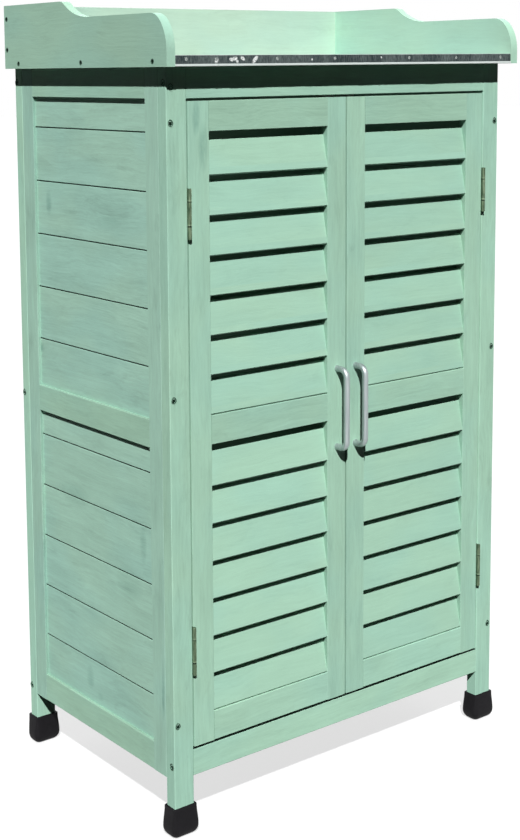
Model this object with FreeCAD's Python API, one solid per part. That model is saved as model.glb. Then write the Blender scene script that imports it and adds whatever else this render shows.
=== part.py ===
import FreeCAD, Part
import math
import os

Vector = FreeCAD.Vector

# Garden storage cabinet with a potting tray on top and two louvred doors.
# Millimetres, +Z up, X across the doors, the doors face -Y.
# The origin is on the ground, below the middle of the whole outline.

# Carcass
cabinet_width = 700.0
cabinet_depth = 427.0
frame_height = 1167.5
underside_height = 91.5
leg_width = 36.0
leg_depth = 21.0
edge_ease = 0.8

# Front frame rails
top_rail_height = 46.0
front_bottom_rail_height = 42.0

# Framed panels of the sides and the back
panel_thickness = 15.0
panel_stile_width = 33.0
panel_middle_rail_bottom = 600.0
panel_middle_rail_height = 43.5
panel_bottom_rail_height = 45.5
plank_thickness = 10.0
plank_pitch = 87.6
plank_gap = 1.0
smallest_plank = 15.0
plank_ease = 1.0
upper_first_plank = 49.0
lower_first_plank = 41.0
rebate_width = 10.0

# Rubber foot caps
cap_height = 48.0
cap_wall = 2.3
cap_floor = 5.0
cap_flare = 1.5
cap_flare_height = 13.0
cap_bottom_inset = 7.5
cap_corner = 5.5
cap_corner_facets = 2

# Doors
door_thickness = 20.0
door_hinge_gap = 2.5
door_centre_gap = 3.0
door_top_gap = 3.5
door_bottom_gap = 3.5
door_stile_width = 38.5
door_top_rail_height = 45.0
door_middle_rail_height = 45.0
door_bottom_rail_height = 47.0
lower_louvre_height = 419.0
tenon_length = 14.0
tenon_thickness = 8.0
tenon_shoulder = 6.0

# Louvre slats
slat_count = 7
slat_width = 53.3
slat_thickness = 7.0
slat_angle = 11.3
slat_setback = 0.3
slat_housing = 6.0
louvre_top_gap = 12.0
louvre_bottom_gap = 1.4
slat_nose = 1.2

# Butt hinges in the door gaps
hinge_length = 75.0
upper_hinge_height = 954.0
lower_hinge_height = 290.0
hinge_end_knuckle = 19.5
hinge_knuckle_radius = 3.2
hinge_knuckle_sides = 10
hinge_knuckle_gap = 0.3
hinge_front_gap = 0.3
hinge_leaf_thickness = 1.0
hinge_leaf_depth = 17.0
hinge_pin_radius = 1.6
hinge_pin_clearance = 0.05

# Bar handles with bent ends
handle_height = 622.5
handle_screw_spacing = 128.0
handle_from_centre = 20.0
handle_reach = 28.0
handle_bar_diameter = 10.0
handle_bar_sides = 12
handle_bend_radius = 13.0
handle_bend_steps = 4
handle_screw_radius = 2.0
handle_screw_depth = 10.0
handle_screw_head_radius = 4.0
handle_screw_head_height = 2.2

# Magnetic catches and their strike plates
catch_width = 30.0
catch_depth = 12.0
catch_height = 36.0
catch_drop = 22.0
magnet_inset = 3.0
magnet_gap = 0.3
strike_width = 14.0
strike_height = 15.0

# Floor, shelves and the battens under them
board_thickness = 10.0
board_count = 4
board_gap = 4.0
board_end_gap = 1.0
shelf_front_gap = 3.0
batten_width = 20.0
batten_height = 20.0
batten_end_gap = 4.0
lower_shelf_top = 480.0
upper_shelf_top = 825.0

# Potting tray
tray_front_overhang = 26.5
tray_rear_overhang = 2.0
tray_side_overhang = 17.0
tray_wall = 15.0
tray_base_thickness = 15.7
tray_base_board_count = 4
tray_rear_rise = 102.5
tray_front_rise = 76.5
tray_step_start = 174.0
tray_step_crest_radius = 17.0
tray_step_valley_radius = 111.0
tray_nose_length = 39.0
tray_nose_drop = 54.0
tray_batten_width = 22.0
tray_batten_height = 22.0
tray_batten_inset = 86.0

# Galvanised sheet on the tray
sheet_thickness = 0.6
sheet_hem_height = 3.6
sheet_drip_gap = 0.2

# Screws and nails, made with few sides because they repeat
head_sides = 6
shank_sides = 4
screw_head_radius = 3.4
screw_head_height = 2.2
screw_shank_radius = 1.8
screw_sink = 1.2
left_leg_screw_heights = (177.5, 680.0)
right_leg_screw_heights = (174.5, 677.5)
left_leg_screw_drop = 81.0
right_leg_screw_drop = 97.5
leg_screw_length = 42.0
rail_screw_length = 58.0
front_rail_screw_inset = 7.0
rear_rail_screw_inset = 5.0
rear_rail_screw_rise = 10.0
tray_screw_length = 34.0
tray_screw_front_insets = (35.0, 224.5)
tray_screw_rear_inset = 43.0
tray_screw_back_drops = (22.0, 72.0)
nail_head_radius = 2.7
nail_head_height = 0.9
nail_shank_radius = 1.0
nail_length = 14.0
nail_left_insets = (20.0, 74.0, 189.0, 304.0)
nail_right_insets = (25.5, 133.0, 240.5)

# Places that follow from the sizes above
half_width = cabinet_width / 2
front_reach = max(tray_front_overhang, handle_reach)
rear_reach = max(tray_rear_overhang, cap_wall + cap_flare)
whole_depth = front_reach + cabinet_depth + rear_reach
front_y = front_reach - whole_depth / 2
rear_y = front_y + cabinet_depth
panel_length = cabinet_depth - 2 * leg_depth
back_length = cabinet_width - 2 * leg_width
opening_half = half_width - leg_width
top_rail_bottom = frame_height - top_rail_height
bottom_rail_top = underside_height + front_bottom_rail_height
door_width = opening_half - door_hinge_gap - door_centre_gap / 2
door_bottom = bottom_rail_top + door_bottom_gap
door_top = top_rail_bottom - door_top_gap
door_back_y = front_y + door_thickness
lower_louvre_bottom = door_bottom + door_bottom_rail_height
lower_louvre_top = lower_louvre_bottom + lower_louvre_height
upper_louvre_bottom = lower_louvre_top + door_middle_rail_height
upper_louvre_top = door_top - door_top_rail_height
hinge_axis_x = opening_half - door_hinge_gap / 2
hinge_axis_y = front_y - hinge_front_gap - hinge_knuckle_radius
inner_half = half_width - panel_thickness
tray_half = half_width + tray_side_overhang
tray_front_y = front_y - tray_front_overhang
tray_rear_y = rear_y + tray_rear_overhang
tray_inner_half = tray_half - tray_wall
base_front_y = tray_front_y + 3 * sheet_thickness
base_rear_y = tray_rear_y - tray_wall
base_top = frame_height + tray_base_thickness


def box(low, high):
    size = [high[i] - low[i] for i in range(3)]
    return Part.makeBox(size[0], size[1], size[2], Vector(*low))


def prism(outline, run, start, end):
    """Closed outline in the two axes other than run, drawn out along run."""
    across = [axis for axis in range(3) if axis != run]
    points = []
    for first, second in outline:
        point = [0.0, 0.0, 0.0]
        point[across[0]] = first
        point[across[1]] = second
        point[run] = start
        points.append(Vector(*point))
    travel = [0.0, 0.0, 0.0]
    travel[run] = end - start
    return Part.Face(Part.makePolygon(points + points[:1])).extrude(Vector(*travel))


def regular_outline(centre, along, radius, sides):
    """Closed regular polygon square to an axis direction, one corner at the top or the back."""
    up = Vector(0, 1, 0) if along.z else Vector(0, 0, 1)
    across = along.cross(up)
    points = []
    for i in range(sides + 1):
        turn = 2 * math.pi * i / sides
        points.append(centre + up * (radius * math.cos(turn)) + across * (radius * math.sin(turn)))
    return Part.makePolygon(points)


def faceted_rod(start, along, length, radius, sides):
    """Rod with a regular outline, for round pieces that repeat."""
    return Part.Face(regular_outline(start, along, radius, sides)).extrude(along * length)


def eased_bar(low, high, run, ease=edge_ease):
    """Planed timber from low to high, its four long edges along run taken off."""
    a, b = [axis for axis in range(3) if axis != run]
    outline = [
        (low[a] + ease, low[b]),
        (high[a] - ease, low[b]),
        (high[a], low[b] + ease),
        (high[a], high[b] - ease),
        (high[a] - ease, high[b]),
        (low[a] + ease, high[b]),
        (low[a], high[b] - ease),
        (low[a], low[b] + ease),
    ]
    return prism(outline, run, low[run], high[run])


def mirrored(shape):
    """The same piece on the other side of the cabinet."""
    return shape.mirror(Vector(0, 0, 0), Vector(1, 0, 0))


# Timber frame

def make_leg(side, rear):
    """Leg from the cap's floor to the tray; side is -1 on the left, 1 on the right."""
    y = rear_y - leg_depth if rear else front_y
    low = (half_width - leg_width, y, cap_floor)
    high = (half_width, y + leg_depth, frame_height)
    leg = eased_bar(low, high, 2)
    return leg if side > 0 else mirrored(leg)


def make_front_rail(bottom, height):
    low = (-opening_half, front_y, bottom)
    high = (opening_half, front_y + leg_depth, bottom + height)
    return eased_bar(low, high, 0)


def rounded_outline(middle_x, middle_y, half_x, half_y, radius, z):
    """Closed level rectangle whose round corners are drawn in a few facets."""
    points = []
    for i, (x, y) in enumerate([(1, 1), (-1, 1), (-1, -1), (1, -1)]):
        centre = Vector(middle_x + x * (half_x - radius), middle_y + y * (half_y - radius), z)
        for step in range(cap_corner_facets + 1):
            turn = math.pi / 2 * (i + step / cap_corner_facets)
            points.append(centre + Vector(radius * math.cos(turn), radius * math.sin(turn), 0))
    return points


def stacked_solid(outlines):
    """Solid through level outlines of equally many points, the lowest one first."""
    faces = [Part.Face(Part.makePolygon(points + points[:1])) for points in (outlines[0], outlines[-1])]
    for below, above in zip(outlines[:-1], outlines[1:]):
        for i in range(len(below)):
            corners = [below[i - 1], below[i], above[i], above[i - 1]]
            faces.append(Part.Face(Part.makePolygon(corners + corners[:1])))
    return Part.makeSolid(Part.makeShell(faces))


def make_foot_cap(side, rear):
    """Rubber cup pushed over the leg's end, a little wider low down, with a round bottom."""
    middle_y = (rear_y - leg_depth / 2) if rear else (front_y + leg_depth / 2)
    middle_x = side * (half_width - leg_width / 2)
    levels = []
    for part in (0.0, 0.15, 0.45, 1.0):
        inset = cap_bottom_inset * (1 - math.sqrt(1 - (1 - part) ** 2))
        levels.append((part * cap_flare_height, cap_flare - inset))
    levels.append((cap_height, 0.0))
    outlines = []
    for z, grow in levels:
        half_x = leg_width / 2 + cap_wall + grow
        half_y = leg_depth / 2 + cap_wall + grow
        outlines.append(rounded_outline(middle_x, middle_y, half_x, half_y, cap_corner, z))
    cup = stacked_solid(outlines)
    cavity = box(
        (middle_x - leg_width / 2, middle_y - leg_depth / 2, cap_floor),
        (middle_x + leg_width / 2, middle_y + leg_depth / 2, cap_height + 1),
    )
    return cup.cut(cavity)


# Framed panels: two stiles, three rails and two fields of planks behind a rebate

def panel_fields():
    lower = (underside_height + panel_bottom_rail_height, panel_middle_rail_bottom)
    upper = (panel_middle_rail_bottom + panel_middle_rail_height, top_rail_bottom)
    return lower, upper


def make_panel_stiles(length):
    """Both stiles in the panel's own frame: outer face at y = 0, length along x."""
    w = panel_stile_width
    ease = edge_ease
    outline = [
        (ease, 0.0),
        (w - ease, 0.0),
        (w, ease),
        (w, panel_thickness - plank_thickness),
        (w - rebate_width, panel_thickness - plank_thickness),
        (w - rebate_width, panel_thickness),
        (0.0, panel_thickness),
        (0.0, ease),
    ]
    first = prism(outline, 2, underside_height, frame_height)
    second = prism([(length - x, y) for x, y in outline], 2, underside_height, frame_height)
    return [first, second]


def make_panel_rail(length, bottom, top, rebate_below, rebate_above):
    """Rail between the stiles, rebated on the inside where planks meet it."""
    back = panel_thickness
    step = panel_thickness - plank_thickness
    low_back = bottom + (rebate_width if rebate_below else 0.0)
    high_back = top - (rebate_width if rebate_above else 0.0)
    outline = [
        (edge_ease, bottom),
        (step, bottom),
        (step, low_back),
        (back, low_back),
        (back, high_back),
        (step, high_back),
        (step, top),
        (edge_ease, top),
        (0.0, top - edge_ease),
        (0.0, bottom + edge_ease),
    ]
    corners = [point for i, point in enumerate(outline) if point != outline[i - 1]]
    front = prism(corners, 0, panel_stile_width, length - panel_stile_width)
    tongue = box(
        (panel_stile_width - rebate_width, step, low_back),
        (length - panel_stile_width + rebate_width, back, high_back),
    )
    return front.fuse(tongue).removeSplitter()


def make_panel_rails(length):
    lower, upper = panel_fields()
    return [
        make_panel_rail(length, underside_height, lower[0], False, True),
        make_panel_rail(length, lower[1], upper[0], True, True),
        make_panel_rail(length, upper[1], frame_height, True, False),
    ]


def make_panel_planks(length):
    """Level planks, their ends and the outer edges lying in the rebates."""
    left = panel_stile_width - rebate_width
    right = length - left
    step = panel_thickness - plank_thickness
    planks = []
    for field, first in zip(panel_fields(), (lower_first_plank, upper_first_plank)):
        bottom, top = field
        more = int((top - bottom - first - smallest_plank) / plank_pitch)
        seams = [top - first - i * plank_pitch for i in range(more + 1)]
        highs = [top + rebate_width] + [seam - plank_gap / 2 for seam in seams]
        lows = [seam + plank_gap / 2 for seam in seams] + [bottom - rebate_width]
        for high, low in zip(highs, lows):
            outline = [
                (step + plank_ease, low),
                (panel_thickness, low),
                (panel_thickness, high),
                (step + plank_ease, high),
                (step, high - plank_ease),
                (step, low + plank_ease),
            ]
            planks.append(prism(outline, 0, left, right))
    return planks


def place_panel(pieces, where):
    """Turns a panel's pieces from the panel's own frame to the left, right or back."""
    turns = {"left": -90.0, "right": 90.0, "back": 180.0}
    starts = {
        "left": Vector(-half_width, rear_y - leg_depth, 0),
        "right": Vector(half_width, front_y + leg_depth, 0),
        "back": Vector(opening_half, rear_y, 0),
    }
    placed = []
    for piece in pieces:
        copy = piece.copy()
        copy.rotate(Vector(0, 0, 0), Vector(0, 0, 1), turns[where])
        copy.translate(starts[where])
        placed.append(copy)
    return placed


# Doors, made as the left door and mirrored for the right one

def door_edges():
    """The left door's hinge edge and meeting edge."""
    hinge_edge = -opening_half + door_hinge_gap
    return hinge_edge, hinge_edge + door_width


def make_slat(bottom):
    """Tilted slat whose ends lie in housings cut in the stiles."""
    lean = math.radians(slat_angle)
    along = (math.sin(lean), math.cos(lean))
    through = (math.cos(lean), -math.sin(lean))
    start = (front_y + slat_setback, bottom)

    def corner(up, back):
        return (
            start[0] + up * along[0] + back * through[0],
            start[1] + up * along[1] + back * through[1],
        )

    outline = [
        corner(0.0, slat_nose),
        corner(0.0, slat_thickness - slat_nose),
        corner(slat_nose, slat_thickness),
        corner(slat_width - slat_nose, slat_thickness),
        corner(slat_width, slat_thickness - slat_nose),
        corner(slat_width, slat_nose),
        corner(slat_width - slat_nose, 0.0),
        corner(slat_nose, 0.0),
    ]
    hinge_edge, meeting_edge = door_edges()
    left = hinge_edge + door_stile_width - slat_housing
    right = meeting_edge - door_stile_width + slat_housing
    return prism(outline, 0, left, right)


def make_slats(bottom, top):
    """One field of slats, evenly spread between two rails."""
    lean = math.radians(slat_angle)
    first = bottom + louvre_bottom_gap
    last = top - louvre_top_gap - slat_width * math.cos(lean)
    pitch = (last - first) / (slat_count - 1)
    return [make_slat(first + i * pitch) for i in range(slat_count)]


def make_door_rail(bottom, top):
    """Rail with a stub tenon at each end."""
    hinge_edge, meeting_edge = door_edges()
    left = hinge_edge + door_stile_width
    right = meeting_edge - door_stile_width
    rail = eased_bar((left, front_y, bottom), (right, door_back_y, top), 0)
    middle = front_y + door_thickness / 2
    tenon = box(
        (left - tenon_length, middle - tenon_thickness / 2, bottom + tenon_shoulder),
        (right + tenon_length, middle + tenon_thickness / 2, top - tenon_shoulder),
    )
    return rail.fuse(tenon).removeSplitter()


def make_door_stile(edge, inward, joined):
    """Stile from its outer edge, housed for the slats and mortised for the rails."""
    low = (min(edge, edge + inward * door_stile_width), front_y, door_bottom)
    high = (max(edge, edge + inward * door_stile_width), door_back_y, door_top)
    return eased_bar(low, high, 2).cut(joined)


def make_handle():
    """Bar bent back to the door at both ends, each bend in a few straight steps."""
    x = -handle_from_centre
    bend = handle_bend_radius
    bar_y = front_y - handle_reach + handle_bar_diameter / 2
    half = handle_screw_spacing / 2
    upper = [Vector(x, front_y, handle_height + half)]
    for step in range(handle_bend_steps + 1):
        turn = math.pi / 2 * step / handle_bend_steps
        out = bar_y + bend * (1 - math.sin(turn))
        up = half - bend * (1 - math.cos(turn))
        upper.append(Vector(x, out, handle_height + up))
    lower = [Vector(x, point.y, 2 * handle_height - point.z) for point in reversed(upper)]
    path = Part.makePolygon(upper + lower)
    section = regular_outline(upper[0], Vector(0, 1, 0), handle_bar_diameter / 2, handle_bar_sides)
    mitred = 1
    bar = path.makePipeShell([section], True, False, mitred)
    return bar.cut(make_handle_screws())


def make_handle_screws():
    """Machine screws from the back of the stile into the handle's two ends."""
    screws = []
    for sign in (-1, 1):
        z = handle_height + sign * handle_screw_spacing / 2
        back = Vector(-handle_from_centre, door_back_y, z)
        length = door_thickness + handle_screw_depth
        shank = faceted_rod(back, Vector(0, -1, 0), length, handle_screw_radius, shank_sides)
        head = faceted_rod(
            back, Vector(0, 1, 0), handle_screw_head_height, handle_screw_head_radius, head_sides
        )
        screws.append(shank.fuse(head).removeSplitter())
    return screws


def make_strike_plate():
    """Thin steel plate on the back of the meeting stile, in line with the magnet."""
    hinge_edge, meeting_edge = door_edges()
    middle = meeting_edge - door_stile_width / 2
    high = door_top - magnet_inset
    thickness = leg_depth - door_thickness - magnet_gap
    return box(
        (middle - strike_width / 2, door_back_y, high - strike_height),
        (middle + strike_width / 2, door_back_y + thickness, high),
    )


def make_catch():
    """Magnetic catch on the back of the top rail, reaching down behind the strike plate."""
    hinge_edge, meeting_edge = door_edges()
    middle = meeting_edge - door_stile_width / 2
    face = front_y + leg_depth
    low = top_rail_bottom - catch_drop
    return eased_bar(
        (middle - catch_width / 2, face, low),
        (middle + catch_width / 2, face + catch_depth, low + catch_height),
        2,
    )


# Hinges: two leaves with interleaved knuckles and a pin, for the left door

def knuckle_spans(height):
    """Lowest and highest point of the two end knuckles and of the one between them."""
    bottom = height - hinge_length / 2
    top = height + hinge_length / 2
    ends = [(bottom, bottom + hinge_end_knuckle), (top - hinge_end_knuckle, top)]
    middle = (ends[0][1] + hinge_knuckle_gap, ends[1][0] - hinge_knuckle_gap)
    return ends, middle


def make_hinge_leaf(height, on_door):
    """Leaf on the leg with the end knuckles, or on the door with the middle one."""
    plate_x = -opening_half
    if on_door:
        plate_x += door_hinge_gap - hinge_leaf_thickness
    bottom = height - hinge_length / 2
    leaf = box(
        (plate_x, front_y + hinge_knuckle_gap, bottom),
        (plate_x + hinge_leaf_thickness, front_y + hinge_leaf_depth, bottom + hinge_length),
    )
    ends, middle = knuckle_spans(height)
    for low, high in [middle] if on_door else ends:
        centre = Vector(-hinge_axis_x, hinge_axis_y, low)
        up = Vector(0, 0, 1)
        barrel = faceted_rod(centre, up, high - low, hinge_knuckle_radius, hinge_knuckle_sides)
        neck = box(
            (plate_x, hinge_axis_y, low),
            (plate_x + hinge_leaf_thickness, front_y + 2 * hinge_leaf_thickness, high),
        )
        leaf = leaf.fuse([barrel, neck])
    bore = Part.makeCylinder(
        hinge_pin_radius + hinge_pin_clearance,
        hinge_length,
        Vector(-hinge_axis_x, hinge_axis_y, bottom),
    )
    return leaf.cut(bore).removeSplitter()


def make_hinge_pin(height):
    bottom = height - hinge_length / 2
    centre = Vector(-hinge_axis_x, hinge_axis_y, bottom)
    return Part.makeCylinder(hinge_pin_radius, hinge_length, centre)


# Floor and shelves

def make_boards(top):
    """Loose boards laid across the battens, with a drainage gap between them."""
    front = front_y + leg_depth + shelf_front_gap
    rear = rear_y - leg_depth - board_end_gap
    width = (rear - front - (board_count - 1) * board_gap) / board_count
    half = inner_half - board_end_gap
    boards = []
    for i in range(board_count):
        y = front + i * (width + board_gap)
        boards.append(eased_bar((-half, y, top - board_thickness), (half, y + width, top), 0))
    return boards


def make_battens(board_tops):
    battens = []
    for top in board_tops:
        high = top - board_thickness
        low_corner = (inner_half - batten_width, front_y + leg_depth + batten_end_gap, high - batten_height)
        high_corner = (inner_half, rear_y - leg_depth - batten_end_gap, high)
        batten = eased_bar(low_corner, high_corner, 1)
        battens += [mirrored(batten), batten]
    return battens


# Potting tray

def make_tray_base():
    """Boards edge to edge on top of the frame."""
    width = (base_rear_y - base_front_y) / tray_base_board_count
    boards = []
    for i in range(tray_base_board_count):
        y = base_front_y + i * width
        low = (-tray_inner_half, y, frame_height)
        high = (tray_inner_half, y + width, base_top)
        boards.append(eased_bar(low, high, 0))
    return boards


def make_tray_battens():
    """Two cross pieces that hold the base boards together, between the side panels."""
    battens = []
    for y in (front_y + tray_batten_inset, rear_y - tray_batten_inset):
        low = (-inner_half, y - tray_batten_width / 2, frame_height - tray_batten_height)
        high = (inner_half, y + tray_batten_width / 2, frame_height)
        battens.append(eased_bar(low, high, 0))
    return battens


def make_tray_sheet():
    """Galvanised sheet over the base, folded down at the front and hemmed back up."""
    t = sheet_thickness
    front = base_front_y - 3 * t
    top = base_top + t
    bottom = frame_height + sheet_drip_gap
    outline = [
        (base_rear_y, base_top),
        (base_rear_y, top),
        (base_front_y - t, top),
        (base_front_y - t, bottom + sheet_hem_height),
        (front + t / 2, bottom + sheet_hem_height),
        (front, bottom + sheet_hem_height - t),
        (front, bottom + t),
        (front + t, bottom),
        (base_front_y, bottom),
        (base_front_y, base_top),
    ]
    return prism(outline, 0, -tray_inner_half, tray_inner_half)


def make_tray_side():
    """Right upstand: high at the back, a step of two arcs, and an elliptic nose."""
    bottom = frame_height
    high = bottom + tray_rear_rise
    low = bottom + tray_front_rise
    crest = tray_step_crest_radius
    valley = tray_step_valley_radius
    swing = math.acos(1 - (high - low) / (crest + valley))
    step_y = tray_rear_y - tray_step_start
    valley_y = step_y - (crest + valley) * math.sin(swing)
    join = Vector(step_y - crest * math.sin(swing), high - crest * (1 - math.cos(swing)), 0)
    half = swing / 2
    crest_mid = Vector(step_y - crest * math.sin(half), high - crest * (1 - math.cos(half)), 0)
    valley_mid = Vector(valley_y + valley * math.sin(half), low + valley * (1 - math.cos(half)), 0)
    step_top = Vector(step_y, high, 0)
    step_foot = Vector(valley_y, low, 0)
    nose_top = Vector(tray_front_y + tray_nose_length, low, 0)
    nose_foot = Vector(tray_front_y, low - tray_nose_drop, 0)
    nose_middle = Vector(nose_top.x, nose_foot.y, 0)
    nose = Part.Ellipse(nose_top, nose_foot, nose_middle)
    front_bottom = Vector(tray_front_y, bottom, 0)
    rear_bottom = Vector(tray_rear_y, bottom, 0)
    rear_top = Vector(tray_rear_y, high, 0)
    outline = Part.Wire(Part.__sortEdges__([
        Part.makeLine(rear_bottom, rear_top),
        Part.makeLine(rear_top, step_top),
        Part.Arc(step_top, crest_mid, join).toShape(),
        Part.Arc(join, valley_mid, step_foot).toShape(),
        Part.makeLine(step_foot, nose_top),
        Part.ArcOfEllipse(nose, 0.0, math.pi / 2).toShape(),
        Part.makeLine(nose_foot, front_bottom),
        Part.makeLine(front_bottom, rear_bottom),
    ]))
    side = Part.Face(outline).extrude(Vector(0, 0, tray_wall))
    side.rotate(Vector(0, 0, 0), Vector(1, 1, 1), 120)
    side.translate(Vector(tray_inner_half, 0, 0))
    return side


def make_tray_back():
    low = (-tray_inner_half, base_rear_y, frame_height)
    high = (tray_inner_half, tray_rear_y, frame_height + tray_rear_rise)
    return eased_bar(low, high, 0)


# Fasteners

def make_screw(surface, inward, length):
    """Screw with its head sunk below a surface, and the pocket above the head."""
    top = surface + inward * screw_sink
    head = faceted_rod(top, inward, screw_head_height, screw_head_radius, head_sides)
    shank = faceted_rod(top, inward, length, screw_shank_radius, shank_sides)
    pocket = faceted_rod(surface, inward, screw_sink, screw_head_radius, head_sides)
    return head.fuse(shank).removeSplitter(), pocket


def frame_screw_places(leg_screw_heights, leg_screw_drop):
    """Surface point, direction and length of each frame screw, for the right side."""
    places = []
    x = half_width - panel_thickness / 2
    for z in leg_screw_heights + (frame_height - leg_screw_drop,):
        places.append((Vector(x, front_y, z), Vector(0, 1, 0), leg_screw_length))
        places.append((Vector(x, rear_y, z), Vector(0, -1, 0), leg_screw_length))
    inward = Vector(-1, 0, 0)
    top_z = frame_height - top_rail_height / 2
    for z in ((underside_height + bottom_rail_top) / 2, top_z):
        point = Vector(half_width, front_y + front_rail_screw_inset, z)
        places.append((point, inward, rail_screw_length))
    middle_z = panel_middle_rail_bottom + panel_middle_rail_height / 2
    for z in (underside_height + rear_rail_screw_rise, middle_z, top_z):
        point = Vector(half_width, rear_y - rear_rail_screw_inset, z)
        places.append((point, inward, rail_screw_length))
    return places


def tray_screw_places():
    """Screws through the tray's right side into its base and its back."""
    places = []
    rows = [tray_front_y + inset for inset in tray_screw_front_insets]
    for y in rows + [tray_rear_y - tray_screw_rear_inset]:
        point = Vector(tray_half, y, frame_height + tray_base_thickness / 2)
        places.append((point, Vector(-1, 0, 0), tray_screw_length))
    for drop in tray_screw_back_drops:
        z = frame_height + tray_rear_rise - drop
        point = Vector(tray_half, tray_rear_y - tray_wall / 2, z)
        places.append((point, Vector(-1, 0, 0), tray_screw_length))
    return places


def make_screws(left_places, right_places):
    """All screws of both sides, and everything to be cleared from the timber."""
    screws = []
    cuts = []
    for side, places in ((-1, left_places), (1, right_places)):
        for surface, inward, length in places:
            pieces = make_screw(surface, inward, length)
            if side < 0:
                pieces = [mirrored(piece) for piece in pieces]
            screws.append(pieces[0])
            cuts += pieces
    return screws, cuts


def make_nails():
    """Flat-headed nails through the sheet's front fold."""
    nails = []
    face = base_front_y - sheet_thickness
    z = base_top - tray_base_thickness / 3
    places = [inset - tray_inner_half for inset in nail_left_insets]
    places += [tray_inner_half - inset for inset in nail_right_insets]
    for x in places:
        inward = Vector(0, 1, 0)
        top = Vector(x, face - nail_head_height, z)
        head = faceted_rod(top, inward, nail_head_height, nail_head_radius, head_sides)
        shank = faceted_rod(top, inward, nail_length, nail_shank_radius, shank_sides)
        nails.append(head.fuse(shank).removeSplitter())
    return nails


def cleared(solids, tools):
    """Cuts from each solid only the tools that reach it."""
    result = []
    for solid in solids:
        near = [tool for tool in tools if tool.BoundBox.intersect(solid.BoundBox)]
        result.append(solid.cut(near).removeSplitter() if near else solid)
    return result


# All sub-parts, one node each

def carcass_nodes():
    nodes = {}
    for side, side_name in ((-1, "left"), (1, "right")):
        for rear, end_name in ((False, "front"), (True, "rear")):
            nodes[end_name + "_" + side_name + "_leg"] = [make_leg(side, rear)]
            nodes[end_name + "_" + side_name + "_foot_cap"] = [make_foot_cap(side, rear)]
    nodes["front_top_rail"] = [make_front_rail(top_rail_bottom, top_rail_height)]
    nodes["front_bottom_rail"] = [make_front_rail(underside_height, front_bottom_rail_height)]
    for where, length in (("left", panel_length), ("right", panel_length), ("back", back_length)):
        nodes[where + "_panel_stiles"] = place_panel(make_panel_stiles(length), where)
        nodes[where + "_panel_rails"] = place_panel(make_panel_rails(length), where)
        nodes[where + "_panel_planks"] = place_panel(make_panel_planks(length), where)
    nodes["floor_boards"] = make_boards(bottom_rail_top)
    nodes["lower_shelf_boards"] = make_boards(lower_shelf_top)
    nodes["upper_shelf_boards"] = make_boards(upper_shelf_top)
    nodes["shelf_battens"] = make_battens((bottom_rail_top, lower_shelf_top, upper_shelf_top))
    catch = make_catch()
    nodes["magnetic_catches"] = [catch, mirrored(catch)]
    return nodes


def tray_nodes():
    side = make_tray_side()
    return {
        "tray_base_boards": make_tray_base(),
        "tray_battens": make_tray_battens(),
        "tray_metal_sheet": [make_tray_sheet()],
        "tray_left_side": [mirrored(side)],
        "tray_right_side": [side],
        "tray_back": [make_tray_back()],
    }


def door_nodes():
    hinge_edge, meeting_edge = door_edges()
    upper = make_slats(upper_louvre_bottom, upper_louvre_top)
    lower = make_slats(lower_louvre_bottom, lower_louvre_top)
    top_rail = make_door_rail(upper_louvre_top, door_top)
    middle_rail = make_door_rail(lower_louvre_top, upper_louvre_bottom)
    bottom_rail = make_door_rail(door_bottom, lower_louvre_bottom)
    joined = upper + lower + [top_rail, middle_rail, bottom_rail]
    screws = make_handle_screws()
    heights = (upper_hinge_height, lower_hinge_height)
    left = {
        "hinge_stile": [make_door_stile(hinge_edge, 1, joined)],
        "meeting_stile": [make_door_stile(meeting_edge, -1, joined + screws)],
        "top_rail": [top_rail],
        "middle_rail": [middle_rail],
        "bottom_rail": [bottom_rail],
        "upper_slats": upper,
        "lower_slats": lower,
        "handle": [make_handle()],
        "handle_screws": screws,
        "strike_plate": [make_strike_plate()],
        "hinge_leaves": [make_hinge_leaf(height, True) for height in heights],
    }
    nodes = {}
    for name, solids in left.items():
        nodes["left_door_" + name] = solids
        nodes["right_door_" + name] = [mirrored(solid) for solid in solids]
    leaves = [make_hinge_leaf(height, False) for height in heights]
    pins = [make_hinge_pin(height) for height in heights]
    nodes["left_hinge_frame_leaves"] = leaves
    nodes["right_hinge_frame_leaves"] = [mirrored(leaf) for leaf in leaves]
    nodes["left_hinge_pins"] = pins
    nodes["right_hinge_pins"] = [mirrored(pin) for pin in pins]
    return nodes


def add_fasteners(nodes):
    """Adds screws and nails, and clears their holes in what they go through."""
    left_places = frame_screw_places(left_leg_screw_heights, left_leg_screw_drop)
    right_places = frame_screw_places(right_leg_screw_heights, right_leg_screw_drop)
    frame_screws, frame_cuts = make_screws(left_places, right_places)
    tray_places = tray_screw_places()
    tray_screws, tray_cuts = make_screws(tray_places, tray_places)
    nails = make_nails()
    framed = [name for name in nodes if name.endswith("_leg") or name.startswith("front_")]
    for where in ("left", "right", "back"):
        framed += [where + "_panel_stiles", where + "_panel_rails"]
    for name in framed:
        nodes[name] = cleared(nodes[name], frame_cuts)
    for name in ("tray_left_side", "tray_right_side", "tray_back", "tray_base_boards"):
        nodes[name] = cleared(nodes[name], tray_cuts)
    for name in ("tray_base_boards", "tray_metal_sheet"):
        nodes[name] = cleared(nodes[name], nails)
    nodes["frame_screws"] = frame_screws
    nodes["tray_screws"] = tray_screws
    nodes["sheet_nails"] = nails


def export(nodes):
    os.makedirs("parts", exist_ok=True)
    for name, solids in nodes.items():
        shape = solids[0] if len(solids) == 1 else Part.makeCompound(solids)
        shape.exportStep("parts/" + name + ".step")


def main():
    nodes = carcass_nodes()
    nodes.update(tray_nodes())
    nodes.update(door_nodes())
    add_fasteners(nodes)
    export(nodes)
    print(len(nodes), "nodes")


main()
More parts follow.
